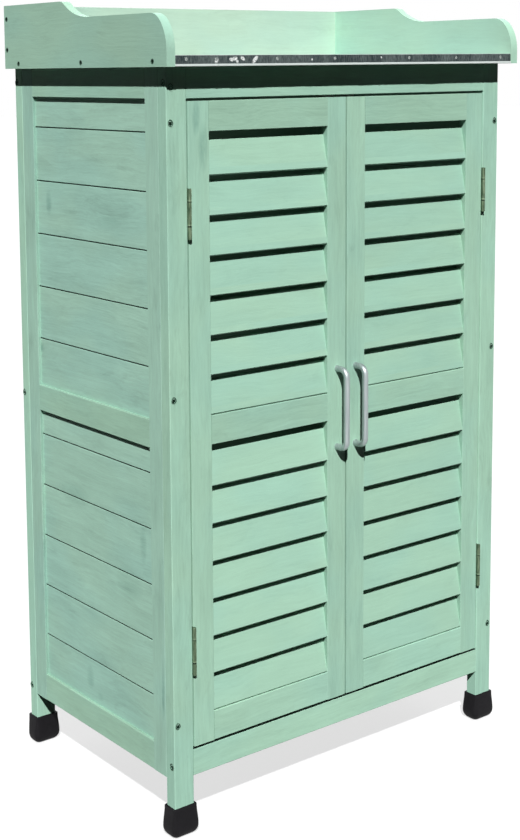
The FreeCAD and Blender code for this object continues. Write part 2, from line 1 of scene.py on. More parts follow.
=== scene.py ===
# %% [markdown]
# # A garden storage cabinet in sage green paint
#
# The frame was made in CAD: legs, rails, planks, slats, hinges and handles, each in its place.
# This lesson dresses it: brushed paint over pine, zinc sheet, rubber and satin metal are made
# from noise, and the pieces that are too fine for the construction model, such as cross-slotted
# screws, rolled hinge knuckles, bent handles and the hemmed sheet, are computed with numpy.

# %% Load the frame
import math

import bpy
import numpy as np
from mathutils import Matrix, Vector


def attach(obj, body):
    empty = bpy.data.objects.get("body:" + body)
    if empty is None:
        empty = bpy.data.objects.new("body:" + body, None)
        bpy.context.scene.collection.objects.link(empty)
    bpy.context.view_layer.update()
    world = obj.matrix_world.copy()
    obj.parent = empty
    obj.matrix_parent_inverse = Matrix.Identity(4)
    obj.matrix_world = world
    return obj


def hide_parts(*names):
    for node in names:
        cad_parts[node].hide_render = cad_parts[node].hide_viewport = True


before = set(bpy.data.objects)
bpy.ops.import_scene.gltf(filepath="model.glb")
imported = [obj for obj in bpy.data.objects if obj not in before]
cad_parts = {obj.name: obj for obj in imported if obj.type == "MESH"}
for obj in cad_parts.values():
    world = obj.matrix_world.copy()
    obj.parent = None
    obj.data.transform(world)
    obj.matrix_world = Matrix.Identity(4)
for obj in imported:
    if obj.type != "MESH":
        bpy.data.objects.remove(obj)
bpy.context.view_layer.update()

# %% [markdown]
# ## The camera
#
# A picture's perspective is set by where the lens stands, not by how the picture is trimmed. The
# camera stands left of the cabinet, level with its tray, turned 37 degrees from the doors and
# tipped 7 degrees down. A lens shift slides the frame over the picture without turning the
# camera, which keeps the upright edges nearly parallel.

# %% Camera
FRAME_PIXELS = (520, 840)
SENSOR = 36.0
CAMERA_PLACE = (-1.58015, -1.91096, 1.16477)
YAW, PITCH, ROLL = 36.6083, 7.0555, 0.6419
FOCAL_PIXELS = 1466.24
VANISHING_CENTRE = (190, 250)
scene = bpy.context.scene


def add_object(name, data):
    """A new object, linked to the scene."""
    thing = bpy.data.objects.new(name, data)
    scene.collection.objects.link(thing)
    return thing


def aim_camera(position, yaw, pitch, roll, focal_pixels, centre):
    """Camera turned yaw degrees from +Y towards +X, tipped pitch degrees down and rolled; its
    focal length and the picture's vanishing centre are in pixels."""
    long_side = max(FRAME_PIXELS)
    data = bpy.data.cameras.new("viewpoint")
    data.sensor_width = SENSOR
    data.lens = focal_pixels * SENSOR / long_side
    data.shift_x = (FRAME_PIXELS[0] / 2 - centre[0]) / long_side
    data.shift_y = (centre[1] - FRAME_PIXELS[1] / 2) / long_side
    pose = Matrix.Translation(position)
    for angle, axis in ((-yaw, "Z"), (90.0 - pitch, "X"), (-roll, "Z")):
        pose = pose @ Matrix.Rotation(math.radians(angle), 4, axis)
    camera = add_object("viewpoint", data)
    camera.matrix_world = pose
    bpy.context.scene.camera = camera
    return data


lens = aim_camera(CAMERA_PLACE, YAW, PITCH, ROLL, FOCAL_PIXELS, VANISHING_CENTRE)
print("lens", round(lens.lens, 2), "mm, shift", round(lens.shift_x, 3), round(lens.shift_y, 3))

# %% [markdown]
# ## A short hand for nodes
#
# A material is a small graph. One function adds a node and feeds its inputs, and a class keeps a
# material's graph, with a method for each kind of node. Both give back sockets, which can be
# passed on like numbers.

# %% Node helpers
X, Y, Z = 0, 1, 2


def feed(tree, value, socket):
    """Links a socket, or writes a plain number or colour."""
    if isinstance(value, bpy.types.NodeSocket):
        tree.links.new(value, socket)
    else:
        socket.default_value = value


def add_node(tree, kind, feeds=(), **settings):
    """The outputs of a new node. feeds goes by the inputs' names or numbers."""
    node = tree.nodes.new("ShaderNode" + kind)
    for name, value in settings.items():
        setattr(node, name, value)
    for key, value in dict(feeds).items():
        feed(tree, value, node.inputs[key])
    return node.outputs


class Finish:
    """The node graph of one material, with one short method for each kind of node."""

    def __init__(self, name):
        self.material = bpy.data.materials.new(name)
        self.material.use_nodes = True
        self.tree = self.material.node_tree
        self.shader = self.tree.nodes["Principled BSDF"]
        self.place = self.node("TexCoord")["Object"]

    def node(self, kind, feeds=(), **settings):
        """The outputs of a new node of this graph."""
        return add_node(self.tree, kind, feeds, **settings)

    def math(self, operation, *terms, clamp=False):
        """One arithmetic step."""
        return self.node("Math", enumerate(terms), operation=operation, use_clamp=clamp)[0]

    def plus(self, a, b):
        """a + b."""
        return self.math("ADD", a, b)

    def minus(self, a, b):
        """a - b."""
        return self.math("SUBTRACT", a, b)

    def times(self, a, b, c=None, clamp=False):
        """a * b, or a * b + c."""
        if c is None:
            return self.math("MULTIPLY", a, b)
        return self.math("MULTIPLY_ADD", a, b, c, clamp=clamp)

    def split(self, vector):
        """The three numbers of a vector."""
        return list(self.node("SeparateXYZ", {0: vector}))

    def join(self, *parts):
        """A vector from three numbers."""
        return self.node("CombineXYZ", enumerate(parts))[0]

    def noise(self, vector, scale, detail=3.0, roughness=0.5, distortion=0.0):
        """Soft cloudy noise, from 0 to 1 and mostly near a half."""
        return self.node("TexNoise", {"Vector": vector, "Scale": scale, "Detail": detail,
                                      "Roughness": roughness, "Distortion": distortion})["Fac"]

    def cells(self, vector, scale=1.0):
        """Distance to the nearest of many scattered points, and that point's own number."""
        point = self.node("TexVoronoi", {"Vector": vector, "Scale": scale})
        return point["Distance"], self.split(point["Color"])[0]

    def dice(self, number):
        """A steady random number from 0 to 1 for each whole number."""
        return self.node("TexWhiteNoise", noise_dimensions="1D", feeds={"W": number})["Value"]

    def ramp(self, value, low, high, start=0.0, end=1.0):
        """Straight change from start to end as a value goes from low to high, held outside."""
        return self.node("MapRange", {"Value": value, "From Min": low, "From Max": high,
                                      "To Min": start, "To Max": end})["Result"]

    def blend(self, factor, first, second):
        """Mix of two colours."""
        mix = {"Factor": factor, "A": first, "B": second}
        return self.node("Mix", mix, data_type="RGBA")["Result"]

    def scaled(self, colour, factor):
        """A colour made lighter or darker by a factor."""
        return self.node("VectorMath", {0: colour, "Scale": factor}, operation="SCALE")[0]

    def facing(self, axis):
        """1 on faces square to an axis, either way round, and 0 on the others."""
        normal = self.node("NewGeometry")["True Normal"]
        return self.ramp(self.math("ABSOLUTE", self.split(normal)[axis]), 0.7, 0.9)

    def arris(self, reach):
        """1 along outer edges, where the rounded normal leaves the true one, 0 past a reach."""
        rounded = self.node("Bevel", {"Radius": reach}, samples=4)["Normal"]
        true = self.node("NewGeometry")["True Normal"]
        cosine = self.node("VectorMath", {0: rounded, 1: true}, operation="DOT_PRODUCT")
        return self.ramp(cosine["Value"], 0.74, 0.97, 1.0, 0.0)

    def patch(self, along, across, mark):
        """Soft spot: mark is its place along and across, its half sizes and its strength."""
        at_along, at_across, half_along, half_across, strength = mark
        u = self.math("DIVIDE", self.minus(along, at_along), half_along)
        v = self.math("DIVIDE", self.minus(across, at_across), half_across)
        return self.ramp(self.times(u, u, self.times(v, v)), 0.0, 1.0, strength, 0.0)

    def relief(self, height, depth, strength):
        """Bump whose height goes from 0 to a depth in metres."""
        bump = {"Height": height, "Distance": depth, "Strength": strength}
        self.set(Normal=self.node("Bump", bump)["Normal"])

    def set(self, **sockets):
        """Writes or links sockets of the shader, named with _ for a space."""
        for name, value in sockets.items():
            feed(self.tree, value, self.shader.inputs[name.replace("_", " ")])
        return self.material


def rgb(red, green, blue):
    """Linear colour of a screen colour whose parts go from 0 to 255."""
    parts = np.array([red, green, blue]) / 255.0
    linear = np.where(parts <= 0.04045, parts / 12.92, ((parts + 0.055) / 1.055) ** 2.4)
    return tuple(float(part) for part in linear) + (1.0,)


# %% [markdown]
# ## Light and floor
#
# A lamp high on the left front draws the shadows of the slats, tray and handles down and to the
# right; it is a degree wide, so they have a thin soft rim. A wide lamp behind the right side and
# a dim sky keep the rest from going black. The floor is pale to the camera but dark to the light
# that bounces off it, or it would wash out the shadows under the slats; its glow keeps the shadow
# on it light. A faint glow in each compartment stands for the light that the louvres let in.

# %% Lamps and sky
SUNS = (("key_lamp", (-0.61, -0.82, 1.02), 5.3, 1.0), ("rear_lamp", (0.62, 0.72, 0.35), 2.4, 60.0))
INSIDE_GLOW, GLOW_RADIUS = 0.05, 0.08
INSIDE_HEIGHTS = (0.30, 0.65, 1.00)
SKY_COLOUR, SKY_FILL = (0.95, 0.98, 1.0, 1.0), 0.007


def seen_directly(tree):
    """1 for a ray from the camera, a mirror or a glass, 0 for one that carries light."""
    path = add_node(tree, "LightPath")
    seen = path["Is Camera Ray"]
    for ray in ("Is Glossy Ray", "Is Transmission Ray"):
        seen = add_node(tree, "Math", {0: seen, 1: path[ray]}, operation="MAXIMUM")[0]
    return seen


def show_two(tree, carrying, direct, output):
    """Feeds an output with one shader for rays that carry light and one for what is seen."""
    both = {0: seen_directly(tree), 1: carrying, 2: direct}
    add_node(tree, output, {"Surface": add_node(tree, "MixShader", both)[0]})


for name, comes_from, strength, width in SUNS:
    light = bpy.data.lights.new(name, "SUN")
    light.energy = strength
    light.angle = math.radians(width)
    lamp = add_object(name, light)
    lamp.rotation_mode = "QUATERNION"
    lamp.rotation_quaternion = Vector(comes_from).to_track_quat("Z", "Y")
for compartment, height in enumerate(INSIDE_HEIGHTS):
    light = bpy.data.lights.new("inside_glow", "POINT")
    light.energy = INSIDE_GLOW
    light.shadow_soft_size = GLOW_RADIUS
    lamp = add_object("inside_glow_" + str(compartment), light)
    lamp.location = (0.0, 0.0, height)
    lamp.visible_camera = lamp.visible_glossy = False

scene.view_settings.view_transform = "Standard"
scene.world = bpy.data.worlds.new("studio")
scene.world.use_nodes = True
sky = scene.world.node_tree
sky.nodes.clear()
dim, bright = (add_node(sky, "Background", {"Color": colour, "Strength": strength})[0]
               for colour, strength in ((SKY_COLOUR, SKY_FILL), ((1.0, 1.0, 1.0, 1.0), 1.0)))
show_two(sky, dim, bright, "OutputWorld")
print(len(bpy.data.lights), "lamps")

# %% Floor
FLOOR_BOUNCE, FLOOR_PALE = (0.015, 0.015, 0.015, 1.0), (0.9, 0.9, 0.9, 1.0)
FLOOR_GLOW = 0.72
FLOOR_REACH = 30.0


def pale_floor():
    """Flat floor, pale and partly glowing when seen, dark when it lights the cabinet."""
    corners = [(x * FLOOR_REACH, y * FLOOR_REACH, 0.0)
               for x, y in ((-1, -1), (1, -1), (1, 1), (-1, 1))]
    mesh = bpy.data.meshes.new("studio_floor")
    mesh.from_pydata(corners, [], [(0, 1, 2, 3)])
    material = bpy.data.materials.new("pale_floor")
    material.use_nodes = True
    tree = material.node_tree
    tree.nodes.clear()
    dark, pale = (add_node(tree, "BsdfDiffuse", {"Color": colour})[0]
                  for colour in (FLOOR_BOUNCE, FLOOR_PALE))
    glow = add_node(tree, "Emission")[0]
    shown = add_node(tree, "MixShader", {0: FLOOR_GLOW, 1: pale, 2: glow})[0]
    show_two(tree, dark, shown, "OutputMaterial")
    mesh.materials.append(material)
    return add_object("studio_floor", mesh)


floor = pale_floor()
print("floor reaches", FLOOR_REACH, "m")

# %% [markdown]
# ## Brushed paint over pine
#
# Thin paint lets the timber speak: the grain stands as fine ridges along the board, a knot leaves
# a blue-green eye with the grain bent round it, resin and damp leave cloudy patches, and no two
# boards take the colour alike. The grain is noise stretched along the board. A throw of dice for
# each board, worked out from its place, shifts the grain and the tone, so that the pattern breaks
# at every joint. Faces other than the broad ones are painted darker as painted shade, sharp arrises
# are painted pale, partly as wear and partly as a painted highlight, and the faces inside a joint
# are painted dark as painted shade. A few marks, such as the knots low on the side, are listed.

# %% Paint
SAGE = rgb(161, 199, 176)
COOL_SHIFT = (0.95, 0.985, 1.02, 1.0)
KNOT = rgb(98, 140, 128)
PALE_EDGE_HIGHLIGHT_AND_WEAR = rgb(196, 226, 208)
JOINT_SHADE = rgb(24, 38, 31)
POCKET_SHADE, POCKET_SHADE_REACH = rgb(30, 58, 45), 0.0046


def painted_timber(name, run, boards=None, face=None, tone=1.0, base=SAGE, mottle=1.0, grain=1.0,
                   knots=1.0, seed=0.0, joint=None, marks=(), edge_highlight_and_wear=0.3, edges=0.16, sunk=()):
    """Paint over timber whose grain runs along axis run and whose broad faces are square to
    axis face; the others are painted darker by edges, as painted shade. boards gives the axis
    across the boards, where the first starts, their pitch, and for a second field the height where
    it starts and its offset. joint gives an axis and the distances from the middle between which
    lie only faces inside the joints, which are painted dark as painted shade. marks are listed
    spots, sunk the screw heads, each with a dark ring painted round it as the shade of its pocket."""
    f = Finish(name)
    xyz = f.split(f.place)
    number = seed + 0.5
    if boards:
        across, start, pitch, *second = boards
        distance = f.minus(xyz[across], start)
        if second:
            border, offset = second
            distance = f.times(f.math("GREATER_THAN", xyz[across], border), -offset, distance)
        number = f.plus(f.math("FLOOR", f.math("DIVIDE", distance, pitch)), seed)
    throw = f.dice(number)
    shift = f.times(throw, 7.0)
    others = [axis for axis in (X, Y, Z) if axis != run]
    along, side_a, side_b = (f.plus(xyz[axis], shift) for axis in (run, *others))

    # knots: one cell in a few has one, a round eye with the grain swelling round it
    spread = f.join(f.times(along, 5.5), f.times(side_a, 11.0), f.times(side_b, 11.0))
    distance, chance = f.cells(spread)
    lucky = f.math("LESS_THAN", chance, 0.22)
    ragged = f.times(f.noise(f.place, 260.0, 2.0), 0.07, distance)
    eye = f.times(f.ramp(ragged, 0.06, 0.15, 1.0, 0.0), lucky)
    halo = f.times(f.ramp(distance, 0.05, 0.34, 1.0, 0.0), lucky)
    bend = f.times(f.ramp(distance, 0.0, 0.6, 1.0, 0.0), lucky)

    # grain: streaks that bend round a knot, fine pores, broad bands, clouds, torn patches and
    # a slow drift, each a noise drawn out along the board
    wander = f.noise(f.join(f.times(along, 2.0), side_a, side_b), 3.0, 2.0)
    sway = f.plus(f.times(wander, 0.03), f.times(bend, 0.008))
    bent_a, bent_b = f.plus(side_a, sway), f.plus(side_b, sway)
    streaks, pores, bands, clouds, torn, drift = (
        f.noise(f.join(f.times(along, squeeze), a, b), *look) for squeeze, a, b, *look in (
            (0.04, bent_a, bent_b, 230.0, 5.0, 0.66), (0.09, side_a, side_b, 900.0, 2.0, 0.6),
            (0.12, bent_a, bent_b, 46.0, 3.0, 0.55), (0.5, side_a, side_b, 15.0, 4.0, 0.6),
            (0.3, side_b, side_a, 34.0, 4.0, 0.7, 0.8), (0.6, side_b, side_a, 8.0, 2.0)))

    # colour: the paint drifts a little towards a cooler green, then each layer darkens it
    cooler = tuple(part * k for part, k in zip(base, COOL_SHIFT))
    paint = f.blend(f.ramp(drift, 0.42, 0.6), base, cooler)
    level = tone
    for layer, amount in ((throw, 0.06), (clouds, 0.26 * mottle), (bands, 0.20 * grain),
                          (streaks, 0.34 * grain), (pores, 0.12 * grain)):
        level = f.times(f.minus(layer, 0.5), amount, level)
    for layer, amount in ((f.ramp(torn, 0.56, 0.74), -0.12 * mottle), (halo, -0.10 * knots)):
        level = f.times(layer, amount, level)
    # faces other than the broad ones are painted darker by edges: painted shade
    if face is not None:
        level = f.times(f.facing(face), edges, f.minus(level, edges))
    blotches = f.times(eye, 0.6 * knots)
    broken = f.ramp(torn, 0.36, 0.62, 0.35, 1.0)
    beside = xyz[others[1] if face == others[0] else others[0]]
    for mark in marks:
        blotches = f.times(f.patch(xyz[run], beside, mark), broken, blotches, clamp=True)
    colour = f.scaled(f.blend(blotches, paint, KNOT), level)
    # a dark ring is painted round each tray screw head: painted shade of the pocket it sinks into
    for place in sunk:
        ring_shade = f.patch(xyz[run], beside, (*place, POCKET_SHADE_REACH, POCKET_SHADE_REACH, 1.8))
        colour = f.blend(f.math("MINIMUM", ring_shade, 1.0), colour, POCKET_SHADE)
    # arrises are painted pale: partly wear, partly a painted highlight where a rounded edge catches
    # the light
    if edge_highlight_and_wear:
        highlight_and_wear = f.times(f.arris(0.0014), f.ramp(streaks, 0.4, 0.6, 0.3 * edge_highlight_and_wear, edge_highlight_and_wear))
        colour = f.blend(highlight_and_wear, colour, PALE_EDGE_HIGHLIGHT_AND_WEAR)
    # the faces inside a joint are painted dark: painted shade where shade falls between the parts
    if joint:
        axis, near, far, gone = joint
        depth = f.math("ABSOLUTE", xyz[axis])
        inside = f.times(f.math("GREATER_THAN", depth, near), f.ramp(depth, far, gone, 1.0, 0.0))
        colour = f.blend(inside, colour, JOINT_SHADE)

    height = f.plus(f.times(streaks, 0.6), f.times(pores, 0.25))
    f.relief(f.times(eye, -0.25, height), 0.0006, 0.6)
    gloss = f.times(f.minus(streaks, 0.5), 0.25, 0.58)
    return f.set(Base_Color=colour, Roughness=gloss, Specular_IOR_Level=0.06)


def dress(material, *names):
    """Puts a material in every slot of the named pieces of the frame."""
    for name in names:
        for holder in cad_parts[name].material_slots:
            holder.material = material


def coat(name, run, seed, *pieces, **look):
    """Paints pieces of the frame with one paint, or the one piece that it is named after."""
    dress(painted_timber("painted_" + name, run, seed=seed, **look), *(pieces or [name]))


# %% Paint on the frame
PLANK_PITCH = 0.0876
PLANK_FIELDS = (Z, 0.0334, PLANK_PITCH, 0.62, -0.0121)
SIDE_MARKS = (
    (0.136, 0.951, 0.010, 0.022, 0.45), (-0.037, 0.931, 0.040, 0.010, 0.3),
    (0.077, 0.478, 0.050, 0.020, 0.3), (-0.120, 0.441, 0.010, 0.034, 0.35),
    (-0.079, 0.369, 0.040, 0.030, 0.3), (0.038, 0.176, 0.012, 0.022, 0.45),
    (0.008, 0.152, 0.010, 0.008, 0.4),
)
STILE_MARKS = ((0.229, -0.174, 0.055, 0.004, 0.6),)
DOOR_MARKS = ((1.095, -0.297, 0.030, 0.008, 0.6), (1.050, -0.284, 0.040, 0.010, 0.6))
SIDE_SAGE, TRAY_SAGE = rgb(161, 199, 180), rgb(163, 200, 178)
TRAY_BACK_SAGE = rgb(168, 195, 175)
COARSE = {"mottle": 1.2, "grain": 1.2}
SMOOTH = {"mottle": 0.8, "grain": 0.55, "knots": 0.3}
FRAME_TOP = 1.1675
TRAY_HALF, TRAY_FRONT, TRAY_REAR = 0.367, -0.2279, 0.2276
TRAY_SCREWS = [(y, FRAME_TOP + 0.00785)
               for y in (TRAY_FRONT + 0.035, TRAY_FRONT + 0.2245, TRAY_REAR - 0.043)]
TRAY_SCREWS += [(TRAY_REAR - 0.0075, FRAME_TOP + rise) for rise in (0.0805, 0.0305)]

# each leg's faces square to X are painted lighter than its other faces, by lift: painted light on
# the sides
for place, (name, lift) in enumerate((("front_left_leg", 0.09), ("front_right_leg", 0.09),
                                      ("rear_left_leg", 0.16), ("rear_right_leg", 0.16))):
    coat(name, Z, 3.0 + place, tone=1.055 + lift, face=X, edges=lift, knots=0.5, **COARSE)
coat("front_top_rail", X, 9.0, face=Y)
coat("front_bottom_rail", X, 10.0, face=Y, tone=1.11, joint=(Z, 0.1332, 0.1336, 0.1340))
# the side stiles, rails and planks are painted lighter than the front as painted light, and the
# edges of the stiles and rails darker as painted shade
coat("side_stiles", Z, 11.0, "left_panel_stiles", "right_panel_stiles", boards=(Y, 0.0, 1.0),
     face=X, tone=1.10, base=SIDE_SAGE, marks=STILE_MARKS, edges=0.34, **COARSE)
coat("back_stiles", Z, 13.0, "back_panel_stiles", boards=(X, 0.0, 1.0), face=Y)
coat("side_rails", Y, 15.0, "left_panel_rails", "right_panel_rails", boards=(Z, 0.0, 0.4),
     face=X, tone=1.08, edges=0.34)
coat("back_rails", X, 17.0, "back_panel_rails", boards=(Z, 0.0, 0.4), face=Y)
coat("side_planks", Y, 19.0, "left_panel_planks", "right_panel_planks", boards=PLANK_FIELDS,
     face=X, tone=1.145, base=SIDE_SAGE, joint=(X, 0.3352, 0.3440, 0.3449), marks=SIDE_MARKS,
     **COARSE)
coat("back_planks", X, 40.0, "back_panel_planks", boards=PLANK_FIELDS, face=Y, mottle=1.2,
     joint=(Y, 0.2108, 0.2196, 0.2205))
for side, seed, slat_tone in (("left", 60.0, 0.95), ("right", 80.0, 0.92)):
    door = side + "_door_"
    coat(door + "stiles", Z, seed, door + "hinge_stile", door + "meeting_stile",
         boards=(X, 0.0, 0.2), face=Y, tone=1.02, mottle=0.8, marks=DOOR_MARKS)
    for rail, tone in (("top_rail", 0.93), ("middle_rail", 1.0), ("bottom_rail", 1.11)):
        coat(door + rail, X, seed + 4, boards=(Z, 0.0, 0.3), face=Y, tone=tone, mottle=0.8)
    coat(door + "slats", X, seed + 9, door + "upper_slats", door + "lower_slats",
         boards=(Z, 0.0, 0.06), tone=slat_tone, mottle=0.5, grain=0.5, knots=0.2)
coat("shelves", X, 100.0, "floor_boards", "lower_shelf_boards", "upper_shelf_boards",
     "tray_base_boards", boards=(Y, 0.0, 0.09), face=Z)
coat("battens", Y, 110.0, "shelf_battens", boards=(Z, 0.0, 0.3))
coat("tray_battens", X, 112.0)
# the tray's right side and its back are painted lighter than its left side: painted light
for name, seed, tone in (("tray_left", 114.0, 1.02), ("tray_right", 116.0, 1.14)):
    coat(name, Y, seed, name + "_side", face=X, base=TRAY_SAGE, tone=tone, edges=0.0,
         sunk=TRAY_SCREWS, **SMOOTH)
coat("tray_back", X, 118.0, face=Y, base=TRAY_BACK_SAGE, tone=1.14, **SMOOTH)
print(sum(name.startswith("painted") for name in bpy.data.materials.keys()), "paints")

# %% [markdown]
# ## Metal, rubber and plastic
#
# Galvanised sheet freezes into patches of pale and dark crystals. The front fold is painted nearly
# black, a painted reflection of dark surroundings, with painted glints at its creases, and the hem
# below is painted pale as a painted highlight. Satin metal is rough metal whose roughness changes
# along fine brush lines. Moulded rubber is nearly black, with a fine pebbled skin that catches
# small glints.

# %% Metal, rubber and plastic finishes
HEM_TOP = 1.1712
FOLD_FRONT = -0.2262
CREASES = ((-0.2775, 0.0034, 1.1755, 0.0042, 0.30), (-0.2500, 0.0042, 1.1770, 0.0030, -0.4),
           (-0.2440, 0.0052, 1.1785, 0.0034, 0.5), (-0.2395, 0.0030, 1.1745, 0.0026, -0.3),
           (-0.2290, 0.0040, 1.1785, 0.0036, -0.5), (-0.2060, 0.0046, 1.1770, 0.0062, 0.7),
           (-0.0950, 0.0018, 1.1760, 0.0022, 0.2), (0.0500, 0.0018, 1.1790, 0.0020, -0.1))
RUBBED_BRONZE = rgb(150, 170, 142)
HINGE_HEIGHTS = (0.954, 0.290)
# each seam between knuckles is painted dark, the lower one darker: painted shade in the gap
KNUCKLE_SEAMS = [(height + offset, seam_shade) for height in HINGE_HEIGHTS
                 for offset, seam_shade in ((-0.018, 0.95), (0.018, 0.45))]


def zinc_sheet():
    """Dull crystal patches of two sizes, a hem painted pale as a painted highlight, and a front
    fold painted dark as a painted reflection, with painted glints at its creases: each crease has a
    place, half width, height, half height and lean."""
    f = Finish("galvanised_sheet")
    x, y, z = f.split(f.place)
    wobbling = f.join(f.times(f.noise(f.place, 60.0, 3.0), 0.02, x), y, z)
    crystal = f.cells(wobbling, 120.0)[1]
    spangle = f.times(f.cells(wobbling, 210.0)[1], 0.6, f.times(crystal, 0.4))
    flat = f.blend(spangle, rgb(154, 158, 159), rgb(184, 188, 189))
    blotches = f.noise(f.join(f.times(x, 1.4), y, f.times(z, 0.4)), 260.0, 4.0, 0.7)
    broad = f.noise(f.join(x, y, f.times(z, 0.2)), 34.0, 2.0)
    dark_reflection_mottle = f.plus(f.times(blotches, 0.6), f.times(broad, 0.4))
    # the front fold is painted dark: a painted reflection of dark surroundings
    fold = f.blend(f.ramp(dark_reflection_mottle, 0.4, 0.66), rgb(50, 60, 62), rgb(112, 122, 120))
    highlight_and_wear = 0.0
    # the crease spots are painted near white: painted glints where the creases catch the light
    for place, half, height, half_height, lean in CREASES:
        leaning = f.times(f.minus(z, height), -lean, x)
        spot = f.patch(leaning, z, (place, height, half, half_height, 2.2))
        highlight_and_wear = f.math("MAXIMUM", highlight_and_wear, spot)
    crumpled = f.ramp(f.noise(f.place, 420.0, 3.0, 0.7, 1.5), 0.41, 0.53)
    fold = f.blend(f.math("MINIMUM", f.times(highlight_and_wear, crumpled), 1.0), fold, rgb(236, 240, 238))
    # the hem is painted pale: a painted highlight
    on_fold = f.math("LESS_THAN", y, FOLD_FRONT)
    on_hem = f.times(on_fold, f.math("LESS_THAN", z, HEM_TOP))
    colour = f.blend(on_hem, f.blend(on_fold, flat, fold), rgb(214, 224, 220))
    f.relief(f.plus(blotches, broad), 0.0006, 0.5)
    return f.set(Base_Color=colour, Metallic=f.times(on_hem, -0.65, f.times(on_fold, 0.7, 0.3)),
                 Roughness=f.times(on_fold, -0.26, f.times(crystal, 0.16, 0.56)),
                 Specular_IOR_Level=f.times(on_fold, 0.4, 0.1))


def satin_metal(name, dark, pale, rough, stretch=(1.0, 1.0, 1.0), scale=500.0, metallic=1.0,
                seams=()):
    """Metal whose colour and polish change along brush lines, which run long where stretch is
    small. seams are the heights between knuckles and the strength of the painted shade in each,
    with a rubbed edge above."""
    f = Finish(name)
    xyz = f.split(f.place)
    lines = f.noise(f.join(*(f.times(*pair) for pair in zip(xyz, stretch))), scale, 3.0, 0.6)
    f.relief(lines, 0.00004, 0.4)
    colour = f.blend(f.ramp(lines, 0.3, 0.7), dark, pale)
    for seam, seam_shade in seams:
        for height, near, far, strength, paint in (
                (seam + 0.0021, 0.0006, 0.0014, 0.8 * seam_shade, RUBBED_BRONZE),
                (seam, 0.0007, 0.0013, seam_shade, JOINT_SHADE)):
            away = f.math("ABSOLUTE", f.minus(xyz[Z], height))
            colour = f.blend(f.ramp(away, near, far, strength, 0.0), colour, paint)
    return f.set(Base_Color=colour, Metallic=metallic,
                 Roughness=f.ramp(lines, 0.3, 0.7, rough, rough + 0.12))


def pebbled(name, dark, pale, rough, depth):
    """Moulded rubber or plastic with a fine pebbled skin."""
    f = Finish(name)
    pebbles = f.noise(f.place, 1300.0, 2.0)
    scuffs = f.noise(f.place, 90.0, 4.0, 0.65)
    f.relief(pebbles, depth, 0.5)
    return f.set(Base_Color=f.blend(f.ramp(scuffs, 0.45, 0.75), dark, pale),
                 Roughness=f.ramp(pebbles, 0.3, 0.7, rough, rough + 0.2), Specular_IOR_Level=0.2)


ZINC = zinc_sheet()
NICKEL = satin_metal("satin_nickel", rgb(150, 162, 162), rgb(178, 186, 186), 0.34,
                     (1.0, 1.0, 0.05), metallic=0.7)
BRONZE = satin_metal("bronzed_steel", rgb(66, 88, 68), rgb(128, 144, 118), 0.40,
                     (1.0, 1.0, 0.16), 420.0, seams=KNUCKLE_SEAMS)
DARK_STEEL = satin_metal("dark_screw_steel", rgb(14, 28, 22), rgb(38, 60, 48), 0.55)
NAIL_STEEL = satin_metal("dull_nail_steel", rgb(112, 120, 118), rgb(172, 180, 176), 0.22)
PALE_STEEL = satin_metal("zinc_plated_steel", rgb(150, 152, 150), rgb(186, 188, 186), 0.3)
RUBBER = pebbled("black_rubber", rgb(5, 4, 7), rgb(14, 12, 16), 0.6, 0.0002)
OFF_WHITE = pebbled("off_white_plastic", rgb(222, 220, 212), rgb(232, 230, 224), 0.4, 0.00005)
dress(BRONZE, "left_hinge_pins", "right_hinge_pins")
print(len(bpy.data.materials), "materials")

# %% [markdown]
# ## A small kit for computed pieces
#
# Each new piece is a grid of points: rows along the piece and columns round it. One function
# turns such a grid into a closed skin whose faces point outwards, by the sign of the volume that
# they enclose. Another gathers skins into one object and says which body it rides on, which
# finish it takes, and which node it stands for.

# %% Mesh kit
CREASE_ANGLE = math.radians(38.0)


def outward(points, quads, triangles=np.empty((0, 3), int)):
    """The same faces, turned round if the volume that they enclose comes out negative."""
    corners = np.concatenate([quads[:, [0, 1, 2]], quads[:, [0, 2, 3]], triangles])
    a, b, c = (points[corners[:, i]] for i in range(3))
    if np.einsum("ij,ij->i", a, np.cross(b, c)).sum() < 0:
        quads, triangles = quads[:, ::-1], triangles[:, ::-1]
    return points, quads, triangles


def strips(here):
    """Quads between the rows of a table of point numbers whose columns run round."""
    beside = np.roll(here, -1, axis=1)
    return np.stack([here[:-1], beside[:-1], beside[1:], here[1:]], -1).reshape(-1, 4)


def skin(grid, ring=False):
    """Closed surface over a grid of points, rows by columns by 3. Columns run round. So do
    rows in a ring, and otherwise the first and the last one close on a pole."""
    rows, columns = grid.shape[:2]
    points = grid.reshape(-1, 3)
    here = np.arange(rows * columns).reshape(rows, columns)
    if ring:
        return outward(points, strips(np.concatenate([here, here[:1]])))
    beside = np.roll(here, -1, axis=1)
    points = np.concatenate([points, grid[[0, -1]].mean(axis=1)])
    poles = np.full((2, columns), rows * columns) + [[0], [1]]
    triangles = np.concatenate([np.stack([beside[0], here[0], poles[0]], -1),
                                np.stack([here[-1], beside[-1], poles[1]], -1)])
    return outward(points, strips(here), triangles)


def make_piece(name, skins, body, material, replaced=()):
    """One object from closed skins, smooth but for edges sharper than the crease angle."""
    points, *kinds = zip(*skins)
    starts = np.cumsum([0, *map(len, points)])
    quads, triangles = (np.concatenate([part + start for part, start in zip(parts, starts)])
                        for parts in kinds)
    mesh = bpy.data.meshes.new(name)
    mesh.from_pydata(np.concatenate(points).tolist(), [], quads.tolist() + triangles.tolist())
    mesh.polygons.foreach_set("use_smooth", np.ones(len(mesh.polygons), bool))
    mesh.set_sharp_from_angle(angle=CREASE_ANGLE)
    mesh.materials.append(material)
    piece = add_object(name, mesh)
    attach(piece, body)
    if replaced:
        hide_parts(*replaced)
    print(name, len(skins), "skins,", len(mesh.polygons), "faces")


